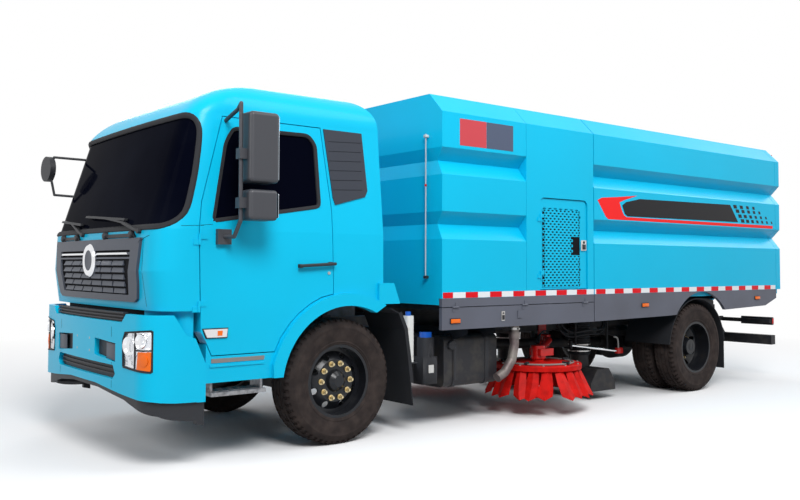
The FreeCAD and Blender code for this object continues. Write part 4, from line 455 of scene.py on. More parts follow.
def add_tyre(bm, x, y):
    made = add_turned(bm, TYRE_SECTION, (x, y, TYRE_R), LEFTWARD, steps=TREAD_STEPS)
    bmesh.ops.recalc_face_normals(bm, faces=made)
    notched = []
    for face in made:
        spot = face.calc_center_median()
        radius = math.hypot(spot.x - x, spot.z - TYRE_R)
        step = math.floor(math.atan2(spot.z - TYRE_R, spot.x - x) / (2 * math.pi) * TREAD_STEPS)
        across = abs(spot.y - y)
        on_shoulder = step % 2 == 0 and radius > 0.48 and 0.074 < across < 0.122
        on_middle_rib = step % 4 == 1 and radius > 0.50 and across < 0.02
        if on_shoulder or on_middle_rib:
            notched.append(face)
    bmesh.ops.inset_individual(bm, faces=notched, thickness=NOTCH_INSET, depth=-NOTCH_DEPTH)


# %% Tyres on all wheels
WHEELS = {"front": (FRONT_AXLE, (0.962,), "front_tyre", "front_rim", "front_wheel"),
          "rear": (REAR_AXLE, (1.05, 0.738), "rear_tyres", "rear_rims", "rear_wheels")}
for side, sign in SIDES.items():
    for place, (x, rows, tyre, rim, wheel) in WHEELS.items():
        bm = bmesh.new()
        for y in rows:
            add_tyre(bm, x, sign * y)
        piece = build(f"tyre_{place}_{side}", bm, [tyre_rubber], f"{wheel}_{side}", smooth=28)
        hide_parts(f"{tyre}_{side}")
        print(piece.name, len(piece.data.polygons), "faces")

# %% [markdown]
# Wheel nuts and hub caps. Ten zinc-plated nuts hold each disc, and a turned cap closes the hub. A nut is a
# six-sided bar with a tapered end on a round washer. A ray finds the face of the disc, so the nuts sit on
# it.

# %% Nuts and caps
NUTS, NUT_CIRCLE, CAP_LEAD = 10, 0.142, 0.095
CAP = ((0.0, 0.034), (0.040, 0.034), (0.052, 0.028), (0.057, 0.012), (0.072, 0.010), (0.080, 0.004),
       (0.082, -0.002), (0.0, -0.002))
for side, sign in SIDES.items():
    for place, (x, rows, tyre, rim, wheel) in WHEELS.items():
        disc = skin_of(f"{rim}_{side}")
        out = Vector((0, sign, 0))
        start = Vector((x, sign * SIDE_PLANE, TYRE_R))
        nuts = bmesh.new()
        for turn in turns(NUTS):
            reach = Vector((NUT_CIRCLE * math.cos(turn), 0, NUT_CIRCLE * math.sin(turn)))
            tip = land(disc, start + reach, -out)[0]
            add_bar(nuts, tip - out * 0.022, tip + out * 0.002, 0.0175, sides=6)
            add_bar(nuts, tip + out * 0.002, tip + out * 0.014, 0.0135, 0.0095, sides=12)
            add_bar(nuts, tip - out * 0.027, tip - out * 0.022, 0.024)
        build(f"wheel_nuts_{place}_{side}", nuts, [zinc_gold], f"{wheel}_{side}")
        caps = bmesh.new()
        face = land(disc, start + Vector((CAP_LEAD, 0, 0)), -out)[0].y
        add_turned(caps, [(r, sign * a) for r, a in CAP], (x, face, TYRE_R), LEFTWARD, steps=48, closed=False)
        build(f"hub_cap_{place}_{side}", caps, [wheel_black], f"{wheel}_{side}")
print("nuts and caps on four wheels")

# %% [markdown]
# The windscreen and the door windows sit in thick rubber surrounds. A rubber's line follows the opening, so
# the outline is walked point by point, and each point is sent onto the cab along the direction in which the
# opening was cut. Five loops at different offsets are then bridged into one bead, which follows any curve
# of the cab.

# %% A line of points round an opening
def even_loop(points, count):
    # The same closed line with evenly spaced points and softened corners.
    points = [Vector(p) for p in points]
    lengths = [(points[(i + 1) % len(points)] - points[i]).length for i in range(len(points))]
    total, out = sum(lengths), []
    for k in range(count):
        want, i = total * k / count, 0
        while want > lengths[i]:
            want -= lengths[i]
            i += 1
        out.append(points[i].lerp(points[(i + 1) % len(points)], want / lengths[i]))
    for _ in range(2):
        out = [(out[i - 1] + out[i] * 2 + out[(i + 1) % count]) / 4 for i in range(count)]
    return out


def grown_loop(loop, offset):
    # Each point moved out of the loop, in the loop's own plane.
    middle = sum(loop, Vector((0, 0))) / len(loop)
    out = []
    for i, point in enumerate(loop):
        run = loop[(i + 1) % len(loop)] - loop[i - 1]
        side = Vector((run.y, -run.x)).normalized()
        if side.dot(point - middle) < 0:
            side = -side
        out.append(point + side * offset)
    return out


def between(first, second, push):
    return [(a + b) / 2 + Vector(push) for a, b in zip(first, second)]


# %% Windscreen rubber
SCREEN_HALF = ((1.003, 1.715), (1.102, 1.742), (1.168, 1.805), (1.180, 1.9), (1.195, 2.1), (1.197, 2.3),
               (1.191, 2.45), (1.153, 2.515), (1.085, 2.54))
SCREEN_X = ahead(1.4)
screen_line = even_loop(list(SCREEN_HALF) + [(-y, z) for y, z in reversed(SCREEN_HALF)], 150)


def on_screen(point, push):
    # The point is (distance from the middle, height), and the rays fan out towards the cab's corners.
    way = Vector((-1, -0.6 * max(-1.0, min(1.0, point.x)), 0)).normalized()
    spot = glass_skin.ray_cast(Vector((SCREEN_X, point.x, point.y)) - way * 0.5, way)[0]
    return (spot or Vector((SCREEN_X - 0.1, point.x, point.y))) - way * push


def screen_loop(offset, push):
    return [on_screen(point, push) for point in grown_loop(screen_line, offset)]


loops = [screen_loop(*bead) for bead in ((-0.022, 0.0015), (-0.020, 0.013), (0.016, 0.008), (0.022, 0.002))]
loops.insert(2, between(screen_loop(0.010, 0.011), screen_loop(-0.018, 0.020), (0, 0, 0)))
bm = bmesh.new()
add_rings(bm, loops)
build("windscreen_rubber", bm, [soft_rubber], smooth=50)
print("windscreen rubber:", len(screen_line), "points round")

# %% Door window rubbers
WINDOW = ((1.190, 1.760), (1.080, 2.350), (1.010, 2.465), (0.350, 2.475), (0.285, 2.400), (0.262, 1.905))
CROWN = 0.003
window_line = even_loop([(ahead(x), z) for x, z in WINDOW], 120)


def window_loop(sign, offset, push):
    out = Vector((0, sign, 0))
    return [land(glass_skin, (p.x, sign * SIDE_PLANE, p.y), inward(sign))[0] + out * push
            for p in grown_loop(window_line, offset)]


for side, sign in SIDES.items():
    beads = ((-0.020, 0.001), (-0.018, 0.013), (0.008, 0.005), (0.010, 0.001))
    loops = [window_loop(sign, *bead) for bead in beads]
    loops.insert(2, between(loops[1], loops[2], (0, sign * CROWN, 0)))
    bm = bmesh.new()
    add_rings(bm, loops)
    build(f"window_rubber_{side}", bm, [soft_rubber], f"door_{side}", smooth=50)
print("door window rubbers made")

# %% [markdown]
# The doors carry a pull handle in a shallow dish, a small lock, and a side marker lamp low at the front.
# The handle is a bar on two feet whose places come from the door's skin, and the lamp is three laid sheets:
# a rubber edge, the clear field and the orange one.

# %% Door handles and marker lamps
DISH = ((0.47, 1.405), (0.15, 1.42), (0.15, 1.495), (0.47, 1.485))
MARKER_SHEETS = (
    (((1.238, 0.920), (1.068, 0.918), (1.062, 0.992), (1.268, 0.992)), (6, 3), 0.0004, 0.006, 2),
    (((1.230, 0.927), (1.076, 0.925), (1.070, 0.985), (1.258, 0.985)), (6, 3), 0.005, 0.008, 0),
    (((1.150, 0.937), (1.112, 0.937), (1.110, 0.973), (1.150, 0.973)), (2, 2), 0.0132, 0.0008, 1))
foot = Vector((0.022, 0.006, 0.015))
overhang = Vector((0.03, 0, 0))
for side, sign in SIDES.items():
    out = Vector((0, sign, 0))
    bm = bmesh.new()
    lay_side(bm, DISH, sign, (8, 3))
    build(f"handle_dish_{side}", bm, [body_blue], f"door_{side}")
    bm = bmesh.new()
    ends = [land(cab_skin, beside(x, z, sign), inward(sign))[0] for x, z in ((0.45, 1.44), (0.17, 1.458))]
    for spot in ends:
        add_block(bm, spot - foot, spot + foot, bevel=0.004)
        add_bar(bm, spot, spot + out * 0.030, 0.012, sides=16)
    add_bar(bm, ends[0] + out * 0.034 + overhang, ends[1] + out * 0.034 - overhang, 0.0125)
    lock = land(cab_skin, beside(0.185, 1.385, sign), inward(sign))[0]
    add_bar(bm, lock - out * 0.004, lock + out * 0.006, 0.013, finish_index=1)
    build(f"door_handle_{side}", bm, [grained_black, bare_steel], f"door_{side}")
    bm = bmesh.new()
    for corners, cuts, lift, thick, index in MARKER_SHEETS:
        lay_side(bm, corners, sign, cuts, lift=lift, thick=thick, finish_index=index)
    build(f"marker_lamp_{side}", bm, [clear_lens, amber_lens, soft_rubber], f"door_{side}")
print("door trim made")

# %% [markdown]
# Thin dark lines stand for the gaps between pressed panels: the front hatch, the corner panels and the
# joints of the bumper. Each is a strip three millimetres wide, laid along the skin, which is simpler than a
# cut.

# %% Panel seams
HATCH_SEAMS = (((0.936, 1.634), (0.957, 1.110)), ((0.936, 1.634), (1.02, 1.655)),
               ((0.936, 1.634), (0.90, 1.60)))
BUMPER_SEAMS = (((0.567, 0.99), (0.570, 0.915)), ((0.578, 0.73), (0.582, 0.545)),
                ((0.30, 0.92), (0.30, 0.915)))
CORNER_PLANE = 1.4
bm = bmesh.new()
for sign in (1, -1):
    for start, end in HATCH_SEAMS:
        seam_front(bm, cab_skin, start, end, sign)
    corner = [(ahead(x), sign * CORNER_PLANE, z) for x, z in ((1.262, 1.73), (1.43, 1.722))]
    add_seam(bm, cab_skin, *corner, inward(sign))
build("cab_seams", bm, [void_black])
bm = bmesh.new()
for sign in (1, -1):
    for start, end in BUMPER_SEAMS:
        seam_front(bm, bumper_skin, start, end, sign)
build("bumper_seams", bm, [void_black])
print("seams laid")

# %% [markdown]
# The grille: a grey frame with slanted fins over a field painted black as shade, a bright bar above them and
# a round boss. The solid's frame is kept as a copy whose deep faces, at the back of the recess, get a black
# finish: painted shade for the shade behind the fins. Its plain fins are taken out, and new ones with thin
# upper edges are drawn in their places. The boss is a plain turned disc with a chrome rim.

# %% Grille frame
# DEEP: faces closer than this to the cab shell, at the back of the recess, are painted as shade.
FIN_LONGEST, FIN_TALLEST, DEEP = 0.19, 0.05, 0.0075


def islands(bm):
    # Groups of faces that hang together.
    left, groups = set(bm.faces), []
    while left:
        group, rim = set(), {left.pop()}
        while rim:
            group |= rim
            rim = {f for face in rim for edge in face.edges for f in edge.link_faces} - group
        left -= group
        groups.append(group)
    return groups


bm = copy_of("front_grille")
small = []
for group in islands(bm):
    ys = [v.co.y for f in group for v in f.verts]
    zs = [v.co.z for f in group for v in f.verts]
    if max(ys) - min(ys) < FIN_LONGEST and max(zs) - min(zs) < FIN_TALLEST:
        small += list(group)
bmesh.ops.delete(bm, geom=small, context="FACES")
bmesh.ops.dissolve_degenerate(bm, edges=bm.edges[:], dist=2e-4)
cab_only = skin_of("cab_shell")
# Faces at the back of the recess, close to the cab shell, get void_black: painted shade for the shade behind
# the fins.
for face in bm.faces:
    spot = face.calc_center_median()
    height = cab_only.find_nearest(spot)[3]
    deep = height is not None and height < DEEP and abs(face.normal.x) > 0.5
    face.material_index = 1 if deep and 1.2 < spot.z < 1.57 and abs(spot.y) < 0.78 else 0
piece = build("grille_frame", bm, [grille_grey, void_black], smooth=14)
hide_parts("front_grille")
print("plain fins left out:", len(small), "faces")

# %% Fins of the grille
FIN_ROWS, FIN_LOW, FIN_ROW, FIN_TALL = 5, 1.234, 0.0515, 0.036
FIN_W, FIN_GAP, FIN_LEAN, FIN_FOOT = 0.222, 0.020, 0.016, 0.006
FIN_TOP_DEPTH, FIN_EDGE_DEPTH = 0.004, 0.019
bm = bmesh.new()
for row in range(FIN_ROWS):
    low = FIN_LOW + row * FIN_ROW
    for column in range(-3, 3):
        middle = (column + 0.5) * FIN_W
        lean = FIN_LEAN if middle > 0 else -FIN_LEAN
        verts = bmesh.ops.create_cube(bm, size=1.0)["verts"]
        for vert in verts:
            across, up, in_front = vert.co.y, vert.co.z, vert.co.x > 0
            y = middle + across * (FIN_W - FIN_GAP) - up * lean
            spot = land(cab_only, front(y, low + (up + 0.5) * FIN_TALL), BACKWARD)[0]
            depth = (FIN_TOP_DEPTH if up > 0 else FIN_EDGE_DEPTH) if in_front else 0.0
            vert.co = spot + Vector((FIN_FOOT + depth, 0, 0))
        bmesh.ops.bevel(bm, geom=edges_of(verts), offset=0.0015, segments=1, profile=0.5, affect="EDGES",
                        material=-1)
build("grille_fins", bm, [grille_grey])
print("grille fins:", 6 * FIN_ROWS)

# %% Bright bar and boss
BRIGHT_BAR = ((0.15, 1.521), (0.74, 1.521), (0.72, 1.535), (0.15, 1.535))
BOSS_R, BOSS_Z, RIM_SHARE = 0.130, 1.478, 0.66
BOSS = ((0.0, 0.020), (0.62, 0.020), (0.80, 0.024), (0.92, 0.022), (1.0, 0.010), (1.0, -0.020), (0.0, -0.020))
bm = bmesh.new()
for sign in (1, -1):
    lay_front(bm, cab_skin, BRIGHT_BAR, sign, (20, 1), thick=0.004)
build("grille_bright_bar", bm, [chrome])
bm = bmesh.new()
boss = Vector((land(cab_skin, front(0, 1.53), BACKWARD)[0].x, 0, BOSS_Z))
for face in add_turned(bm, [(r * BOSS_R, a) for r, a in BOSS], boss, (1, 0, 0), steps=72, closed=False):
    spot = face.calc_center_median() - boss
    face.material_index = 0 if math.hypot(spot.y, spot.z) > RIM_SHARE * BOSS_R else 1
build("grille_boss", bm, [chrome, grille_grey])
print("grille dressed")

# %% [markdown]
# Each solid of the frame belongs to a body. Trim that is screwed to a solid has to move with the same body,
# so a small lookup spares writing the body by hand for every piece.

# %% Which body carries a solid
BODY_OF = {node: name for name, body in frame["record"]["behaviour"]["bodies"].items()
           for node in (body["nodes"] if isinstance(body, dict) else body)}


def on(node):
    return BODY_OF.get(node, "chassis")


print("lookup holds", len(BODY_OF), "solids; mirrors ride on", on("door_mirror_left"))

# %% [markdown]
# The bumper stands clear of the cab, and on a real lorry a black plastic liner closes that slot from
# behind. It is a strip that follows the bumper's plan: a line of edges is extruded upwards into a sheet,
# and its wall thickness is given at the end, so it is a real sheet from both sides.

# %% Liner behind the bumper
LINER_PLAN = ((1.580, 0.0), (1.585, 0.5), (1.578, 0.70), (1.542, 0.82), (1.462, 1.06), (1.40, 1.115),
              (1.36, 1.137), (1.313, 1.145))
LINER_TOP, LINER_FOOT, CORNER_FOOT = 1.130, 0.988, 0.66
bm = bmesh.new()
plan = [(x, -y) for x, y in reversed(LINER_PLAN[1:])] + list(LINER_PLAN)
verts = [bm.verts.new((ahead(x), y, LINER_FOOT if abs(y) < 1.1 else CORNER_FOOT)) for x, y in plan]
edges = [bm.edges.new(pair) for pair in zip(verts, verts[1:])]
for vert in new_verts(bmesh.ops.extrude_edge_only(bm, edges=edges)):
    vert.co.z = LINER_TOP
for face in bm.faces:
    face.material_index = 1 if abs(face.calc_center_median().y) > 0.86 else 0
bmesh.ops.recalc_face_normals(bm, faces=bm.faces[:])
bmesh.ops.solidify(bm, geom=bm.faces[:], thickness=0.004)
build("bumper_liner", bm, [void_black, body_blue])
print("liner behind the bumper")

# %% [markdown]
# Headlamps. Behind the clear cover sit two bowls, parted by a dark web, with the orange turn lamp in the
# lower outer corner. The bowls are turned on a lathe whose axis leans out with the lamp's face, and a
# rubber line frames the whole lamp.

# %% Parts turned on a skin
def add_button(bm, tree, y, z, profile, steps=32, axis=None):
    # The lathe's axis is the skin's normal, unless another one is given.
    spot, normal = land(tree, front(y, z), BACKWARD)
    add_turned(bm, profile, spot, axis or normal, steps=steps, closed=False)


# %% Headlamps
LAMP_EDGE = ((0.778, 0.715), (0.770, 0.900), (0.805, 0.960), (1.113, 0.985), (1.113, 0.698))
LAMP_WEBS = (((0.952, 0.715), (0.952, 0.968), 0.016), ((0.960, 0.842), (1.108, 0.848), 0.010))
EDGE_WIDTH, BOWL_DROP, TURN_LEAN = 0.013, 0.003, 0.35
BOWL = ((0.0, 0.0015), (0.62, 0.0035), (0.80, 0.012), (1.0, 0.016), (1.06, 0.010), (1.06, 0.0))
BOWLS = ((0.866, 0.868, 0.068, 0.24), (1.028, 0.910, 0.050, 0.38))
TURN_FIELD = ((0.985, 0.712), (1.105, 0.706), (1.105, 0.838), (1.0, 0.834))
TURN_BULB = ((0.0, 0.010), (0.03, 0.009), (0.045, 0.0065), (0.045, 0.0))
lines = [(a, b, EDGE_WIDTH) for a, b in zip(LAMP_EDGE, LAMP_EDGE[1:] + LAMP_EDGE[:1])] + list(LAMP_WEBS)
for side, sign in SIDES.items():
    bm = bmesh.new()
    for start, end, width in lines:
        seam_front(bm, bumper_skin, start, end, sign, width=width, cuts=12, lift=0.0005, thick=0.0045)
    build(f"headlamp_frame_{side}", bm, [soft_rubber])
    bm = bmesh.new()
    for y, z, size, lean in BOWLS:
        profile = [(r * size, a - BOWL_DROP) for r, a in BOWL]
        add_button(bm, bumper_skin, sign * y, z, profile, axis=Vector((1, sign * lean, 0)))
    build(f"headlamp_bowls_{side}", bm, [chrome])
    bm = bmesh.new()
    lay_front(bm, bumper_skin, TURN_FIELD, sign, (10, 8), thick=0.006)
    add_button(bm, bumper_skin, sign * 1.05, 0.775, TURN_BULB, axis=Vector((1, sign * TURN_LEAN, 0)))
    build(f"turn_lamp_{side}", bm, [amber_lens])
print("headlamps dressed")

# %% [markdown]
# Small trim of the bumper and the cab front: four studs in the bumper's middle, a grey cover on the outer
# half of each towing window, and the black covers over the wipers' spindles. Studs and spindle caps are
# turned on the skin's own normal, and the covers are laid sheets.

# %% Bumper and spindle trim
STUD = ((0.0, 0.0004), (0.007, 0.0003), (0.009, 0.0), (0.009, -0.001))
SPINDLE_CAP = ((0.0, 0.034), (0.020, 0.033), (0.027, 0.026), (0.030, 0.0))
bm = bmesh.new()
for y in (-0.14, 0.14):
    for z in (0.785, 0.88):
        add_button(bm, bumper_skin, y, z, STUD, steps=16)
build("plate_studs", bm, [bare_steel])
front_only = skin_of("front_bumper")
bm = bmesh.new()
for sign in (1, -1):
    edge = land(front_only, front(sign * 0.66, 0.80), BACKWARD)[0].x
    add_block(bm, (edge - 0.010, sign * 0.45, 0.745), (edge - 0.004, sign * 0.632, 0.865), bevel=0.002)
build("tow_covers", bm, [grille_grey])
bm = bmesh.new()
for low, high in ((0.20, 0.82), (-0.82, -0.32)):
    cover = ((low, 1.648), (high, 1.648), (high - 0.03, 1.674), (low + 0.03, 1.674))
    lay_front(bm, cab_skin, cover, 1, (16, 2), thick=0.014)
    for y in (low + 0.07, high - 0.06):
        add_button(bm, cab_skin, y, 1.664, SPINDLE_CAP, steps=28)
build("spindle_covers", bm, [grained_black])
print("bumper and spindle trim")

# %% [markdown]
# Mirror glass: a thin plate with rounded edges on the rear face of each mirror head. It is bright as
# polished metal, because a real mirror is silvered glass and mirrors the sky.

# %% Mirror glass
mirror_silver = finish("mirror_silver", (0.55, 0.60, 0.66), 0.04, metal=1.0, polish=(6.0, 0.02, 0.07))
for side, sign in SIDES.items():
    bm = bmesh.new()
    for z0, z1 in ((2.062, 2.520), (1.788, 1.962)):
        add_block(bm, (ahead(0.8125), sign * 1.325, z0), (ahead(0.817), sign * 1.467, z1), bevel=0.0018)
    build(f"mirror_glass_{side}", bm, [mirror_silver], on(f"door_mirror_{side}"))
print("mirror glass fitted")

# %% [markdown]
# The graphics on the waste body are colours and shapes: a red wedge with a long red line, a black bar, and
# black slanted squares that get smaller towards the tail. Cut vinyl film is a thin flat plate, so each
# shape is one face from its outline, extruded by about a millimetre. Both sides carry the same film.

# %% Film on the waste body
FILM_LIFT = 0.0004
RED_FILM = ((-0.516, 2.127), (-0.584, 2.155), (-0.848, 2.175), (-1.196, 2.208), (-0.961, 2.148),
            (-0.881, 2.120), (-0.925, 2.030), (-0.959, 1.986), (-1.002, 1.969), (-4.055, 1.972),
            (-4.055, 1.934), (-0.691, 1.936), (-0.650, 1.960))
BLACK_FILM = ((-0.926, 2.090), (-0.990, 2.128), (-1.240, 2.174), (-3.047, 2.196), (-3.224, 1.992),
              (-1.017, 1.978), (-0.968, 2.003))
SQUARE_ROWS = ((2.178, -3.16, -3.59, 4), (2.126, -3.215, -3.73, 5), (2.067, -3.27, -3.89, 6),
               (2.011, -3.33, -4.03, 7))
SLANT = 0.008


def add_film(bm, outline, sign, thick=0.0012, finish_index=0):
    y = sign * (BODY_SIDE + FILM_LIFT)
    add_plate(bm, [(x, y, z) for x, z in outline], (0, sign * thick, 0), finish_index=finish_index)


for side, sign in SIDES.items():
    bm = bmesh.new()
    add_film(bm, RED_FILM, sign, thick=0.0006)
    add_film(bm, BLACK_FILM, sign, finish_index=1)
    for z, first, last, count in SQUARE_ROWS:
        for k in range(count):
            x = first + (last - first) * k / (count - 1)
            half, tall = 0.038 - 0.024 * (k / 6), 0.021 - 0.006 * (k / 6)
            square = ((x + half + SLANT, z + tall), (x - half + SLANT, z + tall),
                      (x - half - SLANT, z - tall), (x + half - SLANT, z - tall))
            add_film(bm, square, sign, thick=0.0008, finish_index=1)
    build(f"film_{side}", bm, [vinyl_red, vinyl_black], "tank")
print("film on both sides")

# %% Sign plates
sign_grey = finish("sign_grey", (0.075, 0.095, 0.15), 0.4, polish=(5.0, 0.3, 0.5))
sign_red = finish("sign_red", (0.55, 0.06, 0.075), 0.4, polish=(5.0, 0.3, 0.5))
bm = bmesh.new()
for sign in (1, -1):
    for x0, x1, index in ((-1.17, -1.50, 0), (-1.503, -1.85, 1)):
        add_film(bm, rectangle(ahead(x0), ahead(x1), 2.52, 2.76), sign, finish_index=index)
build("sign_plates", bm, [sign_red, sign_grey])
print("sign plates on")

# %% [markdown]
# Red and white reflective tape runs along the body's lower edge. The law wants such tape on long vehicles,
# and it comes in blocks of about 15 cm, so a loop lays block after block and cuts the last one to length.
# Blocks on the tipping tank ride with the tank, the others with the chassis.

# %% Reflective tape
TAPE_STEP, TAPE_GAP, TAPE_LOW, TAPE_HIGH = 0.152, 0.002, 1.162, 1.2125
first_red = -0.485 + 9 * 2 * TAPE_STEP
for body, foremost, rearmost in (("chassis", 1.61, -0.446), ("tank", -0.462, -4.10)):
    bm = bmesh.new()
    for sign in (1, -1):
        for k in range(50):
            x0 = min(first_red - k * TAPE_STEP, foremost)
            x1 = max(first_red - (k + 1) * TAPE_STEP + TAPE_GAP, rearmost)
            if x0 - x1 >= 0.02:
                add_film(bm, rectangle(x0, x1, TAPE_LOW, TAPE_HIGH), sign, finish_index=k % 2)
    build(f"tape_{body}", bm, [tape_red, tape_white], body)
print("tape laid on both bodies")

# %% [markdown]
# Side lamps and latches. The lamps are small orange blocks on a black base, and the left front one sits on
# the skirt door, so it swings with it. The latches are paddles in a dish. All of them are bevelled blocks,
# because their faces are flat and only their edges are soft.

# %% Side lamps
FRONT_LAMP = ((1.467, 0.961),)
TANK_LAMPS = ((-1.3135, 1.030), (-3.646, 1.06))
for body, signs, spots in (("skirt_door", (1,), FRONT_LAMP), ("chassis", (-1,), FRONT_LAMP),
                           ("tank", (1, -1), TANK_LAMPS)):
    bm = bmesh.new()
    for sign in signs:
        y = sign * BODY_SIDE
        for x, z in spots:
            add_block(bm, (x - 0.062, y, z - 0.024), (x + 0.062, y + sign * 0.006, z + 0.024), bevel=0.002,
                      finish_index=1)
            add_block(bm, (x - 0.054, y + sign * 0.005, z - 0.018), (x + 0.054, y + sign * 0.014, z + 0.018),
                      bevel=0.003)
    build(f"side_lamps_{body}", bm, [amber_lens, soft_rubber], body)
print("side lamps on")

# %% Latches
def add_latch(bm, x, y, z, wide, tall):
    add_block(bm, (x - wide, y, z - tall), (x + wide, y + 0.005, z + tall), bevel=0.0015)
    add_block(bm, (x - wide * 0.6, y + 0.004, z - tall * 0.75), (x + wide * 0.6, y + 0.012, z + tall * 0.2),
              bevel=0.0025, finish_index=1)
    add_bar(bm, (x, y, z + tall * 0.6), (x, y + 0.010, z + tall * 0.6), wide * 0.35, finish_index=1)


bm = bmesh.new()
add_latch(bm, 0.868, BODY_SIDE + 0.0005, 0.985, 0.022, 0.045)
build("skirt_latch", bm, [bare_steel, grained_black], on("skirt_door"))
bm = bmesh.new()
face = land(skin_of("service_door"), (-0.30, SIDE_PLANE, 1.66), inward(1))[0].y
add_latch(bm, -0.295, face, 1.655, 0.040, 0.052)
build("service_latch", bm, [bottle_white, grained_black], on("service_door"))
print("latches on")

# %% [markdown]
# The service door breathes through a panel of small oval holes in offset rows. Each hole is a cell of its
# own: a square ring bridged to an oval ring, which keeps the mesh light. A black sheet just behind the
# cells paints the holes dark, as painted shade for the shade inside them. The rows beside the latch are
# shorter.

# %% Perforated panels
CELL_W, CELL_H, HOLE_W, HOLE_H = 0.0600, 0.0262, 0.0185, 0.0082
ROWS, ROW_LOW, ROW_FRONT, ROW_SHIFT = 29, 1.255, 0.285, 0.030
PANEL_LIFT, HOLE_DEEP, SHEET = 0.005, 0.0045, 0.0006
RING = ((1, 0), (1, 1), (0, 1), (-1, 1), (-1, 0), (-1, -1), (0, -1), (1, -1))


def add_cell(bm, x, y, z, deep):
    outer = [(x + a * CELL_W / 2, y, z + b * CELL_H / 2) for a, b in RING]
    oval = [(x + HOLE_W * math.cos(turn), z + HOLE_H * math.sin(turn)) for turn in turns(8)]
    add_rings(bm, [outer, [(a, y, b) for a, b in oval], [(a, y - deep, b) for a, b in oval]])


for side, sign in SIDES.items():
    face = land(skin_of("service_door", "body_covers"), (0.34, sign * SIDE_PLANE, 1.24), inward(sign))[0].y
    bm = bmesh.new()
    for row in range(ROWS):
        for k in range(7 if 12 <= row <= 18 else 9):
            x = ROW_FRONT - ROW_SHIFT * (row % 2) - k * CELL_W
            add_cell(bm, x, face + sign * PANEL_LIFT, ROW_LOW + row * CELL_H, sign * HOLE_DEEP)
    bmesh.ops.remove_doubles(bm, verts=bm.verts[:], dist=1e-4)
    # The black sheet behind the cells is painted shade: it darkens the holes in place of the shade inside
    # them.
    add_block(bm, (-0.245, face, 1.243), (0.314, face + sign * SHEET, 2.0), finish_index=1)
    body = on("service_door") if sign > 0 else "chassis"
    build(f"perforated_panel_{side}", bm, [body_blue, void_black], body, smooth=50)
print("perforated panels:", ROWS, "rows of holes")

# %% [markdown]
# Below each door runs a sill with a grey rubber tread strip and a folded edge. Both are thin, so they are
# laid on the cab's skin like the seams. The water level tube on the body's front face shows how full the
# water tank is. It is one long bar between two clips, because a thin tube's hollow isn't seen.

# %% Sill strips
TREAD_STRIP = ((1.19, 0.742), (0.76, 0.742), (0.755, 0.772), (1.19, 0.772))
SILL_EDGE = ((1.20, 0.712), (0.76, 0.712), (0.76, 0.728), (1.20, 0.728))
for side, sign in SIDES.items():
    bm = bmesh.new()
    lay_side(bm, TREAD_STRIP, sign, (12, 1), thick=0.004)
    lay_side(bm, SILL_EDGE, sign, (12, 1), thick=0.007, finish_index=1)
    build(f"sill_strip_{side}", bm, [sill_grey, body_blue])
print("sill strips laid")

# %% Water level tube
tube_clear = finish("tube_clear", (0.42, 0.50, 0.53), 0.25, grain=(120.0, 0.2))
tube_face = ahead(-0.96)
tube_x, tube_y = tube_face + 0.022, 1.055
bm = bmesh.new()
add_bar(bm, (tube_x, tube_y, 1.33), (tube_x, tube_y, 2.62), 0.0065, finish_index=3)
for z, index in ((1.345, 1), (2.60, 0)):
    add_block(bm, (tube_face + 0.0005, tube_y - 0.018, z - 0.012),
              (tube_x + 0.013, tube_y + 0.018, z + 0.012), bevel=0.002, finish_index=index)
add_bar(bm, (tube_x, tube_y, 2.15), (tube_x, tube_y, 2.17), 0.010, finish_index=2)
build("level_tube", bm, [bottle_white, grained_black, arm_red, tube_clear])
print("level tube on the front face")

# %% [markdown]
# Side brushes. The real ones are folded plastic paddles clamped under a round plate, and no two hang alike.
# One paddle is a small grid whose points are set by two numbers: how far down and how far across. The
# middle is pushed out, which makes the fold, and a seeded random sway keeps the ring from looking machined.

# %% One paddle
BRUSH_X, BRUSH_Y, PADDLES = 0.02, 0.915, 20


def add_paddle(bm, turn, y_sign):
    before = set(bm.faces)
    verts = bmesh.ops.create_grid(bm, x_segments=4, y_segments=7, size=1.0)["verts"]
    sway, splay = random.uniform(-0.12, 0.12), random.uniform(-0.030, 0.0)
    short, fold = random.uniform(0.0, 0.022), random.choice((0.048, 0.060, 0.054))
    for vert in verts:
        across, down = vert.co.x, (1 - vert.co.y) / 2
        half = 0.040 + 0.042 * down
        crease = fold * (0.45 - abs(across)) * (0.35 + 0.65 * down)
        radius = 0.372 + 0.172 * down ** 0.85 + splay * down + crease
        lift = 0.474 - (0.322 - short) * down + 0.034 * abs(across) * down
        angle = turn + y_sign * (across * half / radius + sway * down * down)
        out_x, out_y = radius * math.cos(angle), radius * math.sin(angle)
        vert.co = Vector((BRUSH_X + out_x, y_sign * BRUSH_Y + out_y, lift))
    faces = [f for f in bm.faces if f not in before]
    bmesh.ops.recalc_face_normals(bm, faces=faces)
    bmesh.ops.solidify(bm, geom=faces, thickness=0.005)


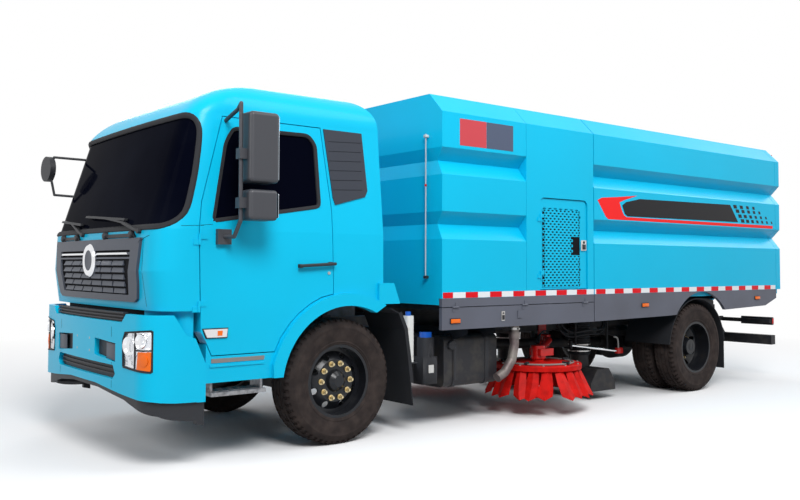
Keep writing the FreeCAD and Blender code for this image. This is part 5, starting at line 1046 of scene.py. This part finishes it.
# %% Brush plates and paddles
PLATE = ((0.0, 0.455), (0.395, 0.455), (0.410, 0.426), (0.430, 0.426), (0.432, 0.470), (0.426, 0.478),
         (0.30, 0.479), (0.285, 0.486), (0.062, 0.486), (0.060, 0.512), (0.019, 0.512), (0.0, 0.512))
BOLTS, BOLT_CIRCLE, BOLT_FOOT = 11, 0.405, 0.478
for side, sign in SIDES.items():
    bm = bmesh.new()
    for turn in turns(PADDLES):
        add_paddle(bm, turn, sign)
    piece = build(f"brush_paddles_{side}", bm, [bristle_red], f"brush_{side}", smooth=16)
    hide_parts(f"side_brush_{side}")
    bm = bmesh.new()
    centre = (BRUSH_X, sign * BRUSH_Y, 0)
    add_turned(bm, PLATE, centre, UPWARD, steps=72, closed=False)
    for turn in turns(BOLTS, 0.5):
        out_x, out_y = BOLT_CIRCLE * math.cos(turn), BOLT_CIRCLE * math.sin(turn)
        spot = Vector((BRUSH_X + out_x, sign * BRUSH_Y + out_y, BOLT_FOOT))
        add_bar(bm, spot, spot + Vector((0, 0, 0.009)), 0.011, sides=6, finish_index=1)
    plate = build(f"brush_plate_{side}", bm, [bristle_red, bare_steel], f"brush_{side}")
    print(piece.name, len(piece.data.polygons), "faces;", plate.name, len(plate.data.polygons), "faces")

# %% [markdown]
# Grey guard rings lie on each brush plate, held by short black straps. They are bent round bar, so each is
# a small circle turned about the brush's axis.

# %% Guard rings on the brushes
GUARD_RINGS, GUARD_BAR_R = ((0.352, 0.487), (0.322, 0.488)), 0.0065
STRAPS, STRAP_Z, STRAP_TURN = 5, 0.494, 0.4
for side, sign in SIDES.items():
    bm = bmesh.new()
    centre = Vector((BRUSH_X, sign * BRUSH_Y, 0))
    for radius, z in GUARD_RINGS:
        circle = [(radius + GUARD_BAR_R * math.cos(a), z + GUARD_BAR_R * math.sin(a)) for a in turns(10)]
        add_turned(bm, circle, centre, UPWARD, steps=56)
    for turn in turns(STRAPS):
        out = Vector((math.cos(turn + STRAP_TURN), math.sin(turn + STRAP_TURN), 0))
        spot = centre + Vector((0, 0, STRAP_Z))
        add_bar(bm, spot + out * 0.300, spot + out * 0.372, 0.0165, sides=8, finish_index=1)
    build(f"brush_rings_{side}", bm, [sill_grey, soft_rubber], f"brush_{side}")
print("guard rings on both brushes")

# %% [markdown]
# Suction hoses. A wide flexible hose is ribbed so that it can bend without closing, and a steel band clamps
# its lower end twice. The ribs are one zigzag profile turned about the hose's axis.

# %% Ribbed hoses
HOSE_X, HOSE_Y, HOSE_LOW, HOSE_HIGH, RIBS = -1.04, 0.568, 0.465, 1.094, 24
BORE_R, VALLEY_R, RIB_R = 0.107, 0.1135, 0.1228
rib_step = (HOSE_HIGH - HOSE_LOW) / RIBS
profile = [(BORE_R, HOSE_LOW)]
for k in range(RIBS):
    z = HOSE_LOW + k * rib_step
    profile += [(VALLEY_R, z), (VALLEY_R, z + rib_step * 0.25), (RIB_R, z + rib_step * 0.45),
                (RIB_R, z + rib_step * 0.8), (VALLEY_R, z + rib_step)]
profile.append((BORE_R, HOSE_HIGH))
bm = bmesh.new()
for sign in (1, -1):
    add_turned(bm, profile, (HOSE_X, sign * HOSE_Y, 0), UPWARD, steps=56)
piece = build("ribbed_hoses", bm, [soft_rubber], on("suction_hoses"))
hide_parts("suction_hoses")
print("ribbed hoses:", RIBS, "ribs each")

# %% Hose clamps
bm = bmesh.new()
for sign in (1, -1):
    for z in (0.50, 0.57):
        add_turned(bm, rectangle(0.1229, 0.1244, z, z + 0.014), (HOSE_X, sign * HOSE_Y, 0), UPWARD, steps=48)
        screw_x, screw_y, screw_z = HOSE_X + 0.123, sign * HOSE_Y, z + 0.007
        add_bar(bm, (screw_x, screw_y - 0.02, screw_z), (screw_x, screw_y + 0.02, screw_z), 0.007, sides=12)
build("hose_clamps", bm, [bare_steel], on("suction_hoses"))
print("hose clamps on")

# %% [markdown]
# The exhaust, the fuel tank and the air drier. Bands, straps and caps lie on the solids that the frame
# already has, as turned or laid pieces. The drier's copy gets three finishes by where its faces are: a
# white bottle, a blue cap and a grained case.

# %% Exhaust bands
EXHAUST_X, EXHAUST_Y = 0.603, 1.14
bm = bmesh.new()
for z, wide in ((0.842, 0.022), (0.80, 0.012)):
    add_turned(bm, rectangle(0.0442, 0.0475, z, z + wide), (EXHAUST_X, EXHAUST_Y, 0), UPWARD, steps=40)
add_bar(bm, (EXHAUST_X, 1.190, 0.853), (EXHAUST_X, 1.206, 0.853), 0.009, sides=6)
build("exhaust_bands", bm, [bare_steel], on("exhaust_pipe"))
print("two exhaust bands")

# %% Fuel tank straps and cap
FUEL_CAP = ((0.0, 0.026), (0.036, 0.026), (0.043, 0.018), (0.045, -0.004), (0.0, -0.004))
STRAP_HALF = 0.022
tank_skin = skin_of("fuel_tank")
bm = bmesh.new()
for x in (0.90, 1.29):
    low, high = x - STRAP_HALF, x + STRAP_HALF
    add_laid(bm, tank_skin, [(a, 1.2, b) for a, b in rectangle(low, high, 0.36, 0.885)], (1, 10), (0, -1, 0),
             lift=0.0, thick=0.004)
    add_laid(bm, tank_skin, [(a, b, 1.2) for a, b in rectangle(low, high, 0.50, 1.06)], (1, 10), (0, 0, -1),
             lift=0.0, thick=0.004)
cap_spot = land(tank_skin, (1.34, SIDE_PLANE, 0.73), inward(1))[0]
add_turned(bm, FUEL_CAP, cap_spot, LEFTWARD, steps=40, closed=False)
build("fuel_tank_straps", bm, [grained_black], on("fuel_tank"))
print("straps and fuel cap")

# %% Air drier and bottle
CASE, BOTTLE, CAP_BLUE = 0, 1, 2
bm = copy_of("air_drier")
for face in bm.faces:
    spot = face.calc_center_median()
    if spot.x > 1.77 and spot.y > 0.97 and spot.z > 0.612:
        face.material_index = BOTTLE if spot.z < 1.012 else CAP_BLUE
    elif spot.z > 0.812 and spot.y > 0.93:
        face.material_index = CAP_BLUE
    else:
        face.material_index = CASE
piece = build("air_drier_dressed", bm, [grained_black, bottle_white, hose_blue],
              on("air_drier"))
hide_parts("air_drier")
bm = bmesh.new()
add_plate(bm, [(x, 1.0753, z) for x, z in rectangle(1.56, 1.62, 0.50, 0.57)], (0, 0.0006, 0))
build("drier_label", bm, [bottle_white], on("air_drier"))
print("drier dressed")

# %% [markdown]
# The rear lamps are one long black bar each, with orange, red and clear fields. So a copy of the solid
# becomes the black bar, its rear face is drawn in a little, and bevelled lens blocks fill that step. The
# tail door gets two lines of red and white tape.

# %% Rear lamps
REAR_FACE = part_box("tail_lamps")[0][0]
LENS_STEP = 0.009
AMBER, RED, CLEAR = 0, 1, 2
LENSES = ((0.715, 0.795, CLEAR), (0.805, 0.905, RED), (0.915, 1.015, AMBER), (1.025, 1.118, RED))
bm = copy_of("tail_lamps")
for vert in bm.verts:
    if vert.co.x < REAR_FACE + 0.005:
        vert.co.x += LENS_STEP
piece = build("tail_lamp_bars", bm, [grained_black], on("tail_lamps"))
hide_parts("tail_lamps")
bm = bmesh.new()
for sign in (1, -1):
    for near, far, index in LENSES:
        add_block(bm, (REAR_FACE + 0.0002, sign * near, 0.702), (REAR_FACE + 0.012, sign * far, 0.778),
                  bevel=0.003, finish_index=index)
    add_block(bm, (REAR_FACE + 0.006, sign * 1.1295, 0.705), (REAR_FACE + 0.044, sign * 1.134, 0.775),
              bevel=0.0015, finish_index=RED)
build("tail_lamp_lenses", bm, [amber_lens, red_lens, clear_lens], on("tail_lamps"))
print("rear lamps dressed")

# %% Tape on the tail door
door_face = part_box("tail_door")[0][0]
bm = bmesh.new()
for k in range(14):
    y0 = -1.16 + k * 0.166
    for z in (1.135, 2.86):
        block = [(door_face - FILM_LIFT, y, h) for y, h in rectangle(y0, y0 + 0.164, z, z + 0.05)]
        add_plate(bm, block, (-0.0008, 0, 0), finish_index=k % 2)
build("tail_tape", bm, [tape_red, tape_white], "tail_door")
print("tape on the tail door")

# %% [markdown]
# Hydraulic lines on the brush arms. They are rubber-covered pipes bent to the arm, so each is a smooth
# curve with a round section, turned into a mesh so that its place is in its points as for every other
# piece.

# %% Pipes on the brush arms
def add_pipe(bm, points, radius, finish_index=0):
    curve = bpy.data.curves.new("pipe_line", "CURVE")
    curve.dimensions = "3D"
    curve.bevel_depth = radius
    curve.bevel_resolution = 3
    curve.use_fill_caps = True
    spline = curve.splines.new("NURBS")
    spline.points.add(len(points) - 1)
    for point, place in zip(spline.points, points):
        point.co = (*place, 1)
    spline.order_u = 3
    spline.use_endpoint_u = True
    spline.resolution_u = 8
    holder = bpy.data.objects.new("pipe_line", curve)
    mesh = bpy.data.meshes.new_from_object(holder)
    before = set(bm.faces)
    bm.from_mesh(mesh)
    for face in bm.faces:
        if face not in before:
            face.material_index = finish_index
    bpy.data.objects.remove(holder)
    bpy.data.curves.remove(curve)
    bpy.data.meshes.remove(mesh)


ARM_RUN = ((-0.56, 0.50, 0.712), (-0.40, 0.60, 0.735), (-0.20, 0.74, 0.735), (-0.07, 0.83, 0.72))
ARM_END = (0.0, 0.88, 0.66)
for side, sign in SIDES.items():
    bm = bmesh.new()
    for lift, shift in ((0.0, 0.0), (0.022, 0.026)):
        route = [(x, y, z + lift) for x, y, z in ARM_RUN] + [ARM_END]
        add_pipe(bm, [(x, sign * (y + shift), z) for x, y, z in route], 0.009)
    build(f"arm_pipes_{side}", bm, [soft_rubber], on(f"brush_arm_{side}"), smooth=50)
print("arm pipes made")

# %% [markdown]
# The tail door is a large plain panel, so it is stiffened with pressed ribs, closed by two lever clamps at
# its foot, and it has a drain cock for the water that settles in the tank. The ribs are bevelled blocks on
# its outer face, because a press leaves soft edges.

# %% Tail door ribs
def add_pad(bm, deep, y0, y1, z0, z1, bevel):
    # A block that stands on the tail door's outer face.
    add_block(bm, (door_face - deep, y0, z0), (door_face - 0.0002, y1, z1), bevel=bevel)


bm = bmesh.new()
for z in (1.30, 1.98, 2.62):
    add_pad(bm, 0.016, -1.05, 1.05, z, z + 0.06, 0.008)
for y in (-1.02, -0.35, 0.35, 1.02):
    add_pad(bm, 0.020, y - 0.03, y + 0.03, 1.24, 2.74, 0.009)
build("tail_door_ribs", bm, [body_blue], "tail_door")
print("seven ribs on the tail door")

# %% Tail door clamps and drain cock
FLANGE = ((0.0, 0.002), (0.055, 0.002), (0.055, 0.014), (0.034, 0.016), (0.034, 0.030), (0.0, 0.030))
CLAMP_Y, PIVOT_Z, COCK_Z = 0.72, 1.245, 1.21
pivot_x, handle_x = door_face - 0.024, door_face - 0.036
bm = bmesh.new()
for y in (CLAMP_Y, -CLAMP_Y):
    add_pad(bm, 0.014, y - 0.05, y + 0.05, 1.195, 1.275, 0.004)
    add_bar(bm, (pivot_x, y - 0.055, PIVOT_Z), (pivot_x, y + 0.055, PIVOT_Z), 0.011, sides=16, finish_index=1)
    add_block(bm, (door_face - 0.032, y - 0.012, 1.12), (door_face - 0.018, y + 0.012, PIVOT_Z), bevel=0.003,
              finish_index=1)
add_turned(bm, FLANGE, (door_face, 0, COCK_Z), BACKWARD, steps=40, closed=False, finish_index=1)
add_bar(bm, (handle_x, -0.045, COCK_Z), (handle_x, 0.045, COCK_Z), 0.007, sides=12, finish_index=1)
build("tail_door_clamps", bm, [grained_black, bare_steel], "tail_door")
print("clamps and drain cock")

# %% [markdown]
# Behind each brush sits small gear: a bright rod that holds the suction nozzle level, its red bracket and a
# white hook, and black pipes on their stays. Each is a straight bar or a bent pipe that ends on something
# solid, because a loose end would hang in the air.

# %% Rods and pipes round the nozzle
BRIGHT, BLACK, RED_BRACKET, WHITE_HOOK = 0, 1, 2, 3
STAY_TOP = 0.876
PIPE_START = (-0.50, 0.66, 0.90)
PIPE_RUN = ((-0.52, 0.68, 0.80), (-0.66, 0.70, 0.70), (-0.95, 0.72, 0.735), (-1.22, 0.70, 0.72))
PIPE_END = ((-1.36, 0.66, 0.80), (-1.38, 0.62, 0.90))
for side, sign in SIDES.items():
    bm = bmesh.new()
    y = sign * 0.80
    add_bar(bm, (-0.62, y, 0.600), (-1.42, y, 0.495), 0.0125, sides=16, finish_index=BRIGHT)
    add_bar(bm, (-0.62, y, 0.565), (-0.62, y, 0.645), 0.018, sides=16, finish_index=BLACK)
    add_block(bm, (-1.50, y - 0.022, 0.465), (-1.40, y + 0.022, 0.530), bevel=0.006, finish_index=RED_BRACKET)
    add_pipe(bm, [(-1.44, y, 0.52), (-1.44, y, 0.60), (-1.42, y, 0.655), (-1.36, y, 0.655)], 0.0085,
             finish_index=WHITE_HOOK)
    for x, low in ((-0.70, 0.59), (-1.24, 0.52)):
        add_bar(bm, (x, y, low), (x, y, 0.885), 0.010, sides=14, finish_index=BLACK)
        add_bar(bm, (x, y, STAY_TOP), (x, sign * 0.44, STAY_TOP), 0.012, sides=14, finish_index=BLACK)
    for shift, drop in ((0.0, 0.0), (0.034, 0.03), (0.068, -0.02)):
        route = [PIPE_START, *[(x, run_y, z - drop) for x, run_y, z in PIPE_RUN], *PIPE_END]
        add_pipe(bm, [(x, sign * (run_y + shift), z) for x, run_y, z in route], 0.0095, finish_index=BLACK)
    build(f"nozzle_gear_{side}", bm, [chrome, soft_rubber, arm_red, bottle_white], smooth=50)
print("gear round the nozzle made")

# %% [markdown]
# The studio: a pale floor that catches the shadow, a white background and soft lights. The floor turns into
# plain white some metres out, so that no horizon line shows. For light that bounces off it, the floor is
# darker than it looks, because a nearly white one would light the lorry's underside too strongly.

# %% Floor
FLOOR_SIZE = 90.0
SEEN_COLOR, BOUNCE_COLOR = (0.92, 0.92, 0.925, 1), (0.34, 0.34, 0.35, 1)
FADE_NEAR, FADE_FAR = 4.6, 11.0
floor_mesh = bpy.data.meshes.new("floor")
bm = bmesh.new()
bmesh.ops.create_grid(bm, x_segments=1, y_segments=1, size=FLOOR_SIZE / 2)
bm.to_mesh(floor_mesh)
bm.free()
floor = bpy.data.objects.new("floor", floor_mesh)
bpy.context.scene.collection.objects.link(floor)


def add_math(tree, kind, operation, settings):
    node = add_node(tree, kind, settings)
    node.operation = operation
    return node


floor_paint = bpy.data.materials.new("floor_paint")
floor_paint.use_nodes = True
tree = floor_paint.node_tree
pale = set_inputs(tree, tree.nodes["Principled BSDF"], {
    "Base Color": SEEN_COLOR, "Roughness": 0.85, "Specular IOR Level": 0.0})
spot = add_node(tree, "ShaderNodeTexCoord", {}).outputs["Object"]
reach = add_math(tree, "ShaderNodeVectorMath", "LENGTH", {0: spot}).outputs["Value"]
fade = add_node(tree, "ShaderNodeMapRange", {"Value": reach, "From Min": FADE_NEAR, "From Max": FADE_FAR})
glow = add_node(tree, "ShaderNodeEmission", {"Strength": 1.0})
blend = add_node(tree, "ShaderNodeMixShader", {
    "Fac": fade.outputs["Result"], 1: pale.outputs["BSDF"], 2: glow.outputs["Emission"]})
dim = add_node(tree, "ShaderNodeBsdfDiffuse", {"Color": BOUNCE_COLOR})
ray = add_node(tree, "ShaderNodeLightPath", {}).outputs
seen = add_math(tree, "ShaderNodeMath", "MAXIMUM", {0: ray["Is Camera Ray"], 1: ray["Is Glossy Ray"]})
choose = add_node(tree, "ShaderNodeMixShader", {
    "Fac": seen.outputs[0], 1: dim.outputs["BSDF"], 2: blend.outputs["Shader"]})
set_inputs(tree, tree.nodes["Material Output"], {"Surface": choose.outputs["Shader"]})
floor_mesh.materials.append(floor_paint)
print("floor:", FLOOR_SIZE, "m across")

# %% [markdown]
# The background is white for camera, glossy and transmission rays, while other rays meet a weaker, slightly
# blue light from all sides. A light path node tells the rays apart, so the backdrop and the light stay
# apart too.

# %% World
SKY_COLOR, SKY_STRENGTH = (0.93, 0.96, 1.0, 1), 0.36
world = bpy.data.worlds.new("studio")
bpy.context.scene.world = world
world.use_nodes = True
tree = world.node_tree
tree.nodes.clear()
soft_light = add_node(tree, "ShaderNodeBackground", {"Color": SKY_COLOR, "Strength": SKY_STRENGTH})
white = add_node(tree, "ShaderNodeBackground", {"Color": (1, 1, 1, 1), "Strength": 1.0})
ray = add_node(tree, "ShaderNodeLightPath", {}).outputs
seen = add_math(tree, "ShaderNodeMath", "MAXIMUM", {0: ray["Is Camera Ray"], 1: ray["Is Glossy Ray"]})
seen = add_math(tree, "ShaderNodeMath", "MAXIMUM", {0: seen.outputs[0], 1: ray["Is Transmission Ray"]})
mix = add_node(tree, "ShaderNodeMixShader", {
    "Fac": seen.outputs[0], 1: soft_light.outputs[0], 2: white.outputs[0]})
add_node(tree, "ShaderNodeOutputWorld", {"Surface": mix.outputs[0]})
print("world light:", SKY_STRENGTH)

# %% [markdown]
# Five large round lamps act as soft boxes. The key lamp stands high on the camera's side, and the others
# fill the front, the roof, the far side and the tail. A large lamp throws a soft shadow.

# %% Lamps
LAMPS = {"key": ((6.0, 9.0, 9.0), (0.5, 0, 1.4), 5.0, 1180),
         "front": ((13.0, 1.0, 6.0), (3.5, 0, 1.4), 5.0, 340),
         "top": ((-1.5, 6.0, 9.0), (-1.0, 1.0, 2.0), 5.0, 220),
         "far_side": ((-3.0, -11.0, 7.0), (0, 0, 1.5), 7.0, 520),
         "behind": ((-11.0, 4.0, 8.0), (-3, 0, 1.2), 7.0, 420)}
for name, (place, target, size, power) in LAMPS.items():
    lamp = bpy.data.lights.new(name, "AREA")
    lamp.shape = "DISK"
    lamp.size = size
    lamp.energy = power
    holder = bpy.data.objects.new(name, lamp)
    holder.location = place
    holder.rotation_euler = (Vector(target) - Vector(place)).to_track_quat("-Z", "Y").to_euler()
    bpy.context.scene.collection.objects.link(holder)
print("lamps:", len(LAMPS))

# %% [markdown]
# The camera stands where the photograph's camera stood: to the left front, at about eye height. Its place
# and lens come from matching known points of the lorry to their pixels.

# %% Camera
CAMERA_AT = Vector((ahead(4.0395), 6.8703, 1.4481))
CAMERA_YAW = -2.249
CAMERA_PITCH = 0.0428
CAMERA_ROLL = 0.0037
LENS_PIXELS = 862.9
IMAGE_WIDTH = 800
HORIZON_SHIFT_PIXELS = 21.6
SENSOR_WIDTH = 36.0
camera_data = bpy.data.cameras.new("camera")
camera_data.sensor_width = SENSOR_WIDTH
camera_data.lens = LENS_PIXELS / IMAGE_WIDTH * SENSOR_WIDTH
camera_data.shift_y = -HORIZON_SHIFT_PIXELS / IMAGE_WIDTH
camera = bpy.data.objects.new("camera", camera_data)
camera.location = CAMERA_AT
look = Vector((math.cos(CAMERA_YAW) * math.cos(CAMERA_PITCH), math.sin(CAMERA_YAW) * math.cos(CAMERA_PITCH),
               math.sin(CAMERA_PITCH)))
camera.rotation_mode = "QUATERNION"
camera.rotation_quaternion = look.to_track_quat("-Z", "Y") @ Quaternion((0, 0, 1), CAMERA_ROLL)
bpy.context.scene.collection.objects.link(camera)
bpy.context.scene.camera = camera
bpy.context.scene.view_settings.view_transform = "Standard"
print("camera:", round(camera_data.lens, 1), "mm lens")
